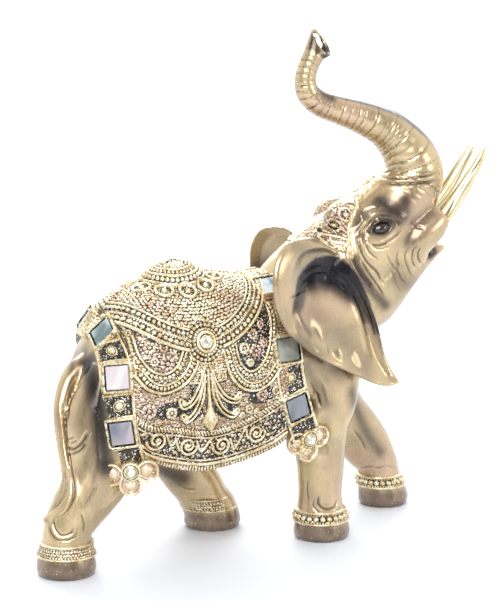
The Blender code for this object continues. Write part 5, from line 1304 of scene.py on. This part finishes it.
# Pendants. At the foot of each strap hangs a trefoil, cast with it: three rimmed lobes about a ringed collar
# that holds a stone. A profile is rows of radius and height, from the foot over the rim to the middle.
lobe_radius, collar_radius, lobe_foot, collar_foot, lobe_sunk = 4.7, 4.0, -3.2, -3.4, 0.9
lobe_profile = [(lobe_radius - 0.1, -1.6), (lobe_radius, -0.5), (4.55, -0.1), (4.2, 0.15), (3.7, -0.05),
                (3.4, -0.6), (3.0, -0.85), (2.2, -0.75), (1.7, -0.3), (1.1, 0.0), (0.5, 0.1)]
collar_profile = [(collar_radius, -0.8), (3.7, -0.35), (3.35, -0.05), (3.0, -0.3), (2.85, -0.35), (2.65, 0.1),
                  (2.45, 0.12), (2.38, -0.9)]
wall_tone, rim_tone, dish_tone = (0.5, 0.1, 0.6, 0.0), (1.0, 0.0, 0.5, 0.0), (0.62, 0.8, 0.6, 0.0)
lobe_tones = [wall_tone] * 3 + [rim_tone] * 3 + [(0.4, 0.4, 0.8, 0.1)] + [dish_tone] * 2
lobe_tones += [(0.95, 0.2, 0.5, 0.0)] * 3
collar_tones = [wall_tone] * 2 + [(0.85, 0.0, 0.5, 0.0)] * 2 + [(0.1, 0.0, 1.0, 0.3)] * 2
collar_tones += [(0.9, -0.2, 0.3, 0.0)] * 3


def plan_place(x, v, word):
    """Where something is set on the flank, at a place of the plan."""
    return placed(*flank_frame(x, v), sides[word])


def turned(profile, beads, bead_from, bead_to, bead_rise):
    """A turned shape from rows of radius and height, with beads raised on the rows between two radii."""
    turn = full_turn(72)
    rings = []
    for radius, high in profile:
        beaded = bead_from <= radius <= bead_to
        lift = bead_rise * np.abs(np.cos(turn * beads / 2)) if beaded else 0.0
        rings.append(level_ring(turn, radius, radius, high + lift))
    return np.array(rings)


for word, side in sides.items():
    for name, parts in straps.items():
        px, pv = parts["pendant"]
        px += parts["forward"][word]
        top = pendant_top + parts["pendant_lift"][word]
        shapes, shades = [], [lobe_tones] * len(pendant_lobes) + [collar_tones]
        for across, down in pendant_lobes:
            profile = [(radius, top - lobe_sunk + rise) for radius, rise in lobe_profile]
            lobe = turned([(lobe_radius - 2.2, lobe_foot)] + profile, 24, 4.0, 4.6, 0.3)
            shapes.append(set_at(plan_place(px + across, pv + down, word), lobe))
        profile = [(radius, top + rise) for radius, rise in collar_profile]
        collar = turned([(collar_radius, collar_foot)] + profile, 22, 3.3, 3.75, 0.25)
        shapes.append(set_at(plan_place(px, pv, word), collar))
        verts, faces = skin_of(shapes)
        piece = piece_from(f"pendant_{name}_{word}", verts, faces)
        shade = np.vstack([np.vstack([np.repeat(np.array(tone), shape.shape[1], axis=0), [tone[0], tone[-1]]])
                           for shape, tone in zip(shapes, shades)])
        keep_paint(piece, shade)
        piece.data.materials.append(glitter_gold)
        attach(piece, "root")

# Head cloth. Cast on the crown of the head: a glittered cloth with ring studs, a raised seam cord along its
# front edge, and a pear drop on each temple.
cloth_edge = [(53.4, 148.2), (48.6, 144.8), (44.4, 141.6), (40.6, 138.4), (37.6, 134.6), (35.6, 129.6),
              (34.9, 124), (34.8, 119.6)]
cloth_foot = [(34.8, 119.6), (28, 120.8), (21, 122), (13, 123)]
ring_studs = [(355.5, 201), (346, 215.5), (334.5, 226)]
black_dots = [(324, 222), (317, 228), (320, 231), (314, 226), (309, 232), (352, 212), (359, 205), (364, 199),
              (369, 192)]
dome = ball(head_lumps[0][:3], head_lumps[0][3:])
skull_verts, skull_faces = skin_of([trunk_rings()] + [head_turned(rings) for rings in both_sides(dome)])
skull_tree = BVHTree.FromPolygons(skull_verts.tolist(), skull_faces)
stations, swings, ray_start, skull_half = 130, 150, 45.0, 20.0
cloth_from, cloth_to = 26.0, 55.0
ahead = unit(np.gradient(stem_line[:, :3], axis=0))
first, last = [int(np.argmin(np.abs(stem_line[:300, 0] - end))) for end in (cloth_from, cloth_to)]
rows = np.linspace(first, last, stations)
swing = np.linspace(-math.radians(104.0), math.radians(104.0), swings)
grid, outs = np.zeros((stations, swings, 3)), np.zeros((stations, swings, 3))
for i, row in enumerate(rows.astype(int)):
    back = np.array([-ahead[row, 2], 0.0, ahead[row, 0]])
    for j, angle in enumerate(swing):
        rim = stem_line[row, :3] + back * math.cos(angle) + np.array([0, math.sin(angle), 0])
        way = head_turned(rim) - head_turned(stem_line[row, :3])
        start = head_turned(stem_line[row, :3]) + way * ray_start
        place, normal, _, _ = skull_tree.ray_cast(Vector(start), Vector(-way))
        grid[i, j], outs[i, j] = (place, normal) if place else (start - way * (ray_start - skull_half), way)
        if outs[i, j] @ way < 0:
            outs[i, j] *= -1
side_view = head_turned(grid, -head_turn)
x, v = side_view[..., 0], side_view[..., 2]
for _ in range(6):
    outs = np.stack([near_mean(outs[..., k], 2) for k in range(3)], axis=-1)
outs = unit(outs)
seams, seam_length = [], 47.0
for side in (1.0, -1.0):
    way = Vector(head_turned([head_pivot, 0.0, 0.0]) - head_turned([head_pivot, side, 0.0]))
    starts = head_turned([(ex, side * 60.0, ez) for ex, ez in smooth_line(cloth_edge, 90)])
    hits = [skull_tree.ray_cast(Vector(start), way)[0] for start in starts]
    seams.append(np.array([tuple(place) for place in hits if place][::3]))
(left_away, left_run), (right_away, right_run) = [line_distance(grid.reshape(-1, 3), seam) for seam in seams]
to_seam = np.minimum(left_away, right_away).reshape(x.shape)
front_run = np.where(left_away < right_away, left_run, right_run).reshape(x.shape) * seam_length
from_front = np.sign(line_measure(smooth_line(cloth_edge, 40), x, v)[0]) * to_seam
from_foot, _ = line_measure(smooth_line(cloth_foot, 20), x, v)
above_foot = np.where(v > np.interp(x, *np.array(sorted(cloth_foot)).T), 1, -1)
behind_front = np.where(from_front > 0, 1, -1)
inside_cloth = np.minimum(np.abs(from_front) * behind_front, np.abs(from_foot) * above_foot)
spread = np.abs(swing)[None, :] * 19.0 + 0 * x
cloth = Carving(x.shape)
stretch = np.linspace(0.0, 48.0, stations)[:, None] + 0 * x
cloth.ground(np.ones(x.shape, bool), 0.55 + 0.16 * pebbles(stretch, spread, 1.3, 0.5, 0.25), 0.38, 0.0)
sideways = soft_step(np.abs((head_turned(grid + outs, -head_turn) - side_view)[..., 1]), 0.30, 0.55)


def on_temple(pixels, steps=16):
    """A line in the cloth's own x and height, through pixels of the photograph."""
    return head_turned(skin_line(pixels, steps), -head_turn)[:, [0, 2]]


def temple_spot(px, py):
    """The place of one pixel, in a list of its own."""
    return on_temple([(px, py), (px + 0.1, py)], 2)[:1]


# Scroll work of the cloth: pixels of each cord, its width, its rise and its copper.
for pixels, width, rise, copper in (
        [((322, 211), (330, 207), (339, 200)), 1.3, 0.8, 0.9],
        [((341, 228), (346, 233), (351, 238)), 1.4, 0.9, 0.9],
        [((339, 214), (342, 222), (347, 229)), 1.2, 0.8, 1.0],
        [((345, 206), (352, 208), (358, 210)), 1.0, 0.7, 0.3],
        [((320, 236), (333, 237), (347, 240)), 1.3, 1.0, 0.2],
        [((319, 238), (328, 245), (337, 252)), 1.3, 1.0, 0.1],
        [((326, 239), (333, 241), (341, 243)), 2.6, 0.5, 1.6],
        [((360, 192), (368, 187), (375, 183)), 1.0, 0.6, 0.6],
        [((328, 220), (324, 214), (326, 209)), 0.9, 0.6, 0.4],
        [((312, 233), (321, 232), (330, 234)), 1.1, 0.8, 0.2]):
    line = on_temple(pixels)
    if len(line) > 2:
        cloth.raised(cord(line_measure(line, x, v)[0], width) * sideways, 0.5, rise, copper, 0.3)
for px, py in ring_studs:
    for sx, sz in temple_spot(px, py):
        away = np.hypot(x - sx, v - sz)
        cloth.ground((away < 2.9) & (sideways > 0.3), 0.35, 0.9, 1.0, 0.25)
        cloth.raised(cord(away - 2.3, 1.1) * sideways, 0.5, 1.0, 0.5, 0.3)
        cloth.raised(cord(away, 2.2) * sideways, 0.5, 1.1, -0.1, 0.3)
for px, py in black_dots:
    for sx, sz in temple_spot(px, py):
        cloth.ground((np.hypot(x - sx, v - sz) < 0.9) & (sideways > 0.3), 0.25, 0.0, 1.0, 1.0)
cloth.raised(bead_row(to_seam - 2.0, front_run, 1.5, 1.3), 0.6, 0.5, 0.1, 0.2)
cloth.raised(cord(to_seam - 0.9, 0.7), 0.6, 0.4, 0.3, 0.3)
paint = cloth.paint(3, 0.8) * np.array([0.88, 1.0, 1.0, 1.0]) + np.array([0.0, 0.2, 0.0, 0.0])
lift = np.where(inside_cloth > 0, cloth.height, -0.6 + 0 * x)
lift = np.where((inside_cloth > 0) & (inside_cloth < 0.3), 0.25, lift)
index = np.arange(stations * swings).reshape(stations, swings)
quads = np.stack([index[:-1, :-1], index[:-1, 1:], index[1:, 1:], index[1:, :-1]], axis=-1)
near_cloth = inside_cloth > -0.9
keep = near_cloth[:-1, :-1] & near_cloth[:-1, 1:] & near_cloth[1:, 1:] & near_cloth[1:, :-1]
used, renumbered = np.unique(quads[keep], return_inverse=True)
points = (grid + outs * lift[..., None]).reshape(-1, 3)[used]
head_cloth = piece_from("head_cloth", points, renumbered.reshape(-1, 4).tolist())
keep_paint(head_cloth, paint.reshape(-1, 4)[used])
head_cloth.data.materials.append(glitter_gold)
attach(head_cloth, "root")

# Cord and pear drops of the head cloth. They are part of the casting too: a two-strand cord over each side of
# the seam, and a fluted drop at its foot.
cord_steps, cord_sides, drop_steps, drop_sides = 150, 20, 26, 40
drop_half, drop_half_height = 2.0, 3.4
shapes, shades = [], []
for seam in seams:
    line = along([(px, py, pz, 1.0) for px, py, pz in seam], cord_steps)
    rings = tube(line, cord_steps, cord_sides)
    middle = rings.mean(axis=1)[:, None]
    turn = full_turn(cord_sides)[None, :, None]
    strand = 1 + 0.16 * np.cos(2 * turn + np.linspace(0.0, 70.0, cord_steps)[:, None, None])
    shapes.append(middle + (rings - middle) * strand)
    turn = full_turn(drop_sides)
    drop = []
    for h in np.linspace(-1.0, 1.0, drop_steps):
        radius = drop_half * math.sqrt(max(1 - h * h, 0.02)) * (1 - 0.35 * h) * (1 + 0.10 * np.cos(turn * 7))
        drop.append(level_ring(turn, radius, radius * 0.8, drop_half_height * h))
    shapes.append(np.array(drop) + seam[-1])
    shades.append(np.tile([0.8, 0.15, 0.6, 0.0], (cord_steps * cord_sides + 2, 1)))
    shades.append(np.tile([0.85, 0.3, 0.6, 0.0], (drop_steps * drop_sides + 2, 1)))
verts, faces = skin_of(shapes)
trim = piece_from("head_cloth_cord_and_drops", verts, faces)
keep_paint(trim, np.vstack(shades))
trim.data.materials.append(glitter_gold)
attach(trim, "root")

# Anklets. A cast band round each ankle: two plain rims with glittered beads between them, small ones behind
# and large ones on the forelegs.
anklets = {"hind_right": 10.8, "hind_left": 11.5, "fore_right": 10.2, "fore_left": 11.5}
anklet_height, anklet_turns, anklet_rows = 5.6, 260, 34


def leg_at(leg, z):
    """Middle and half widths of a leg at a height."""
    rows = along(legs[leg], 200)
    rows = rows[np.argsort(rows[:, 2])]
    return [float(np.interp(z, rows[:, 2], rows[:, k])) for k in (0, 1, 3, 4)]


shapes, shades = [], []
for leg, middle in anklets.items():
    turn = full_turn(anklet_turns)
    level = np.linspace(-anklet_height / 2 - 0.2, anklet_height / 2 + 0.2, anklet_rows)
    h, t = np.broadcast_arrays(level[:, None], turn[None, :])
    ring, everywhere = Carving(h.shape), np.ones(h.shape, bool)
    radius = leg_at(leg, middle)[2]
    round_way = 2 * math.pi * radius
    ring.ground(everywhere, 0.25 + 0.45 * pebbles(h, t * radius, round_way / 56, 0.55, 0.1), 0.25, 0.8)
    if leg.startswith("fore"):
        ring.ground(everywhere, 0.2, 0.1, 1.0, 0.4)
        ring.raised(bead_row(h, t * radius, round_way / 24, 2.3), 0.2, 1.35, 0.0, 0.6)
    for edge in (-1, 1):
        ring.raised(cord(h - edge * 2.35, 1.1), 0.3, 0.8, 0.05, 0.3)
        ring.raised(bead_row(h - edge * 1.55, t * radius, round_way / 56, 0.9), 0.3, 0.5, 0.1, 0.9)
    lift = np.where(np.abs(h) > anklet_height / 2, -0.9, ring.height)
    points = np.zeros((*h.shape, 3))
    for k, z in enumerate(level + middle):
        mx, my, fore, across = leg_at(leg, z)
        points[k] = np.stack([mx + (fore + lift[k]) * np.cos(turn), my + (across + lift[k]) * np.sin(turn),
                              np.full_like(turn, z)], axis=1)
    shapes.append(points)
    shades += [ring.paint(2, 0.35).reshape(-1, 4), np.tile([0.2, 0.0, 1.0, 0.0], (2, 1))]
verts, faces = skin_of(shapes)
faces = [face for face in faces if len(face) == 4]
bands = piece_from("anklets", verts, faces)
keep_paint(bands, np.vstack(shades))
bands.data.materials.append(glitter_gold)
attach(bands, "root")

# Mirror tiles. Square craft mirror, 1.4 mm silvered glass with a fine ground bevel, glued into the frames.
# Each shows a different part of the room, and that reflection is painted into its colour: a soft tone across
# it, given as two colours, and how far it is silvered, which sets how much of the painted colour shows.
tile_half, tile_floor, tile_top, tile_bevel = 4.7, 2.0, 3.4, 0.36
tile_painted_reflections = {
    "rear_1": ("#6d7f80", "#bccac9", 0.8), "rear_2": ("#eadfe1", "#f5eeed", 0.45),
    "rear_3": ("#54646f", "#aba1a5", 0.8), "front_1": ("#7d8a93", "#c9d3d8", 0.8),
    "front_2": ("#8f9287", "#b9bbb0", 0.6), "front_3": ("#5a5c62", "#888a8f", 0.8),
}
tile_rings = [[(half * a, half * b, high) for a, b in ((-1, -1), (1, -1), (1, 1), (-1, 1))]
              for half, high in ((tile_half, tile_floor), (tile_half, tile_top - tile_bevel),
                                 (tile_half - tile_bevel, tile_top))]
for name, (reflection_colour_a, reflection_colour_b, silvered) in tile_painted_reflections.items():
    glass = new_material(f"mirror_painted_reflection_{name}")
    at = add_node(glass, "TexCoord").outputs["Object"]
    slanted = add_node(glass, "Mapping", {"Vector": at, "Rotation": (0.4, 0.9, 0.7),
                                          "Scale": (1.0, 1.0, 0.35)})
    reflection_streak = add_node(glass, "TexNoise", {"Vector": slanted, "Scale": 1000 / 9.0, "Distortion": 0.8})
    share = add_node(glass, "MapRange", {0: reflection_streak, 1: 0.40, 2: 0.60}, interpolation_type="SMOOTHSTEP")
    tone = add_node(glass, "Mix", {0: share, 6: reflection_colour_a, 7: reflection_colour_b}, data_type="RGBA")
    haze = add_node(glass, "MapRange", {0: reflection_streak, 1: 0.3, 2: 0.7, 3: 0.03, 4: 0.09})
    shader = add_node(glass, "BsdfPrincipled", {"Base Color": tone, "Roughness": haze, "Metallic": silvered})
    add_node(glass, "OutputMaterial", {0: shader})
    strap, number = name.split("_")
    for word in sides:
        place = strap_place(strap, straps[strap]["tiles"][int(number) - 1], word)
        tile = piece_from(f"mirror_{name}_{word}", *skin_of([set_at(place, tile_rings)]), smooth=False)
        tile.data.materials.append(glass)
        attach(tile, "root")
        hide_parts(f"mirror_tile_{name}_{word}")

# Rhinestones. Flat-backed cut glass with a foil behind it, glued into collars: a table, then two rows of
# facets. Their sizes are width and height.
stones = {"saddle": (5.6, 2.2), "pendant": (4.6, 1.9)}
crystal = new_material("foil_backed_rhinestone")
at = add_node(crystal, "TexCoord").outputs["Object"]
# Painted sparkle: the base colour runs in bright and dull cells, standing in for light caught by the facets.
sparkle_cells = add_node(crystal, "TexVoronoi", {"Vector": at, "Scale": 1000 / 1.3})
painted_sparkle = add_node(crystal, "SeparateColor", {0: sparkle_cells.outputs["Color"]})
clear = add_node(crystal, "Mix", {0: painted_sparkle, 6: "#a9a48f", 7: "#fdfbf2"}, data_type="RGBA")
shader = add_node(crystal, "BsdfPrincipled", {"Base Color": clear, "Roughness": 0.04, "Metallic": 0.35,
                                              "IOR": 1.54, "Coat Weight": 1.0, "Coat Roughness": 0.02})
add_node(crystal, "OutputMaterial", {0: shader})


def cut_stone(width, high):
    """Rings of a cut stone: girdle, crown facets turned against each other, and table."""
    rings = []
    for share, level, shift in ((1.0, 0.0, 0.0), (1.0, 0.22, 0.0), (0.80, 0.62, 0.5), (0.55, 1.0, 0.0)):
        turn = (np.arange(12) + shift) * 2 * math.pi / 12
        rings.append(level_ring(turn, width / 2 * share, width / 2 * share, high * level))
    return np.array(rings)


for word in sides:
    spots = [("saddle", *medallion, cloth_lift + 2.2, stones["saddle"], f"rhinestone_saddle_{word}")]
    for name, parts in straps.items():
        spots.append((name, parts["pendant"][0] + parts["forward"][word], parts["pendant"][1],
                      pendant_top + parts["pendant_lift"][word], stones["pendant"],
                      f"rhinestone_{name}_pendant_{word}"))
    for name, sx, sv, top, (width, high), node in spots:
        shape = cut_stone(width, high)
        shape[..., 2] += top - 0.45 * high
        verts, faces = skin_of([set_at(plan_place(sx, sv, word), shape)])
        stone = piece_from(f"cut_stone_{name}_{word}", verts, faces, smooth=False)
        stone.data.materials.append(crystal)
        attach(stone, "root")
        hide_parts(node)

# Floor and light: a white table and a bright white room, with a large soft lamp high on the left.
floor = bpy.data.objects.new("floor", bpy.data.meshes.new("floor"))
floor.data.from_pydata([(-14.0, -14.0, 0.0), (14.0, -14.0, 0.0), (14.0, 14.0, 0.0), (-14.0, 14.0, 0.0)], [],
                       [(0, 1, 2, 3)])
bpy.context.scene.collection.objects.link(floor)
paper = new_material("white_table")
grain = add_node(paper, "TexNoise", {"Scale": 6.0, "Detail": 4.0})
white = add_node(paper, "Mix", {0: grain, 6: "#ced1d7", 7: "#d6d9de"}, data_type="RGBA")
shader = add_node(paper, "BsdfPrincipled", {"Base Color": white, "Roughness": 0.6})
add_node(paper, "OutputMaterial", {0: shader})
floor.data.materials.append(paper)


def add_lamp(name, place, size, power, aim=(0.0, 0.0, 0.1)):
    """A soft square lamp turned to a place."""
    lamp = bpy.data.objects.new(name, bpy.data.lights.new(name, "AREA"))
    lamp.data.shape, lamp.data.size, lamp.data.energy = "SQUARE", size, power
    lamp.location = place
    lamp.rotation_euler = (Vector(aim) - lamp.location).to_track_quat("-Z", "Y").to_euler()
    bpy.context.scene.collection.objects.link(lamp)


add_lamp("window", (-0.65, -1.2, 1.1), 1.1, 32.0)
add_lamp("fill", (0.9, -1.2, 0.5), 0.5, 4.0)
add_lamp("back", (0.3, 1.3, 0.9), 0.9, 8.0)
add_lamp("far_end", (2.2, 4.5, 3.3), 5.0, 290.0, aim=(2.2, 4.5, 0.0))
room = bpy.data.worlds.new("room")
room.use_nodes = True
room.node_tree.nodes.clear()
way = add_node(room, "TexCoord").outputs["Generated"]
behind_camera = add_node(room, "VectorMath", {0: way, 1: to_camera}, operation="DOT_PRODUCT")
light = add_node(room, "MapRange", {0: behind_camera, 1: -0.1, 2: 0.85, 3: 1.35, 4: 0.35},
                 interpolation_type="SMOOTHSTEP")
walls = add_node(room, "Background", {0: "#fcfdff", 1: light})
add_node(room, "OutputWorld", {0: walls})
bpy.context.scene.world = room
bpy.context.scene.view_settings.view_transform = "Standard"
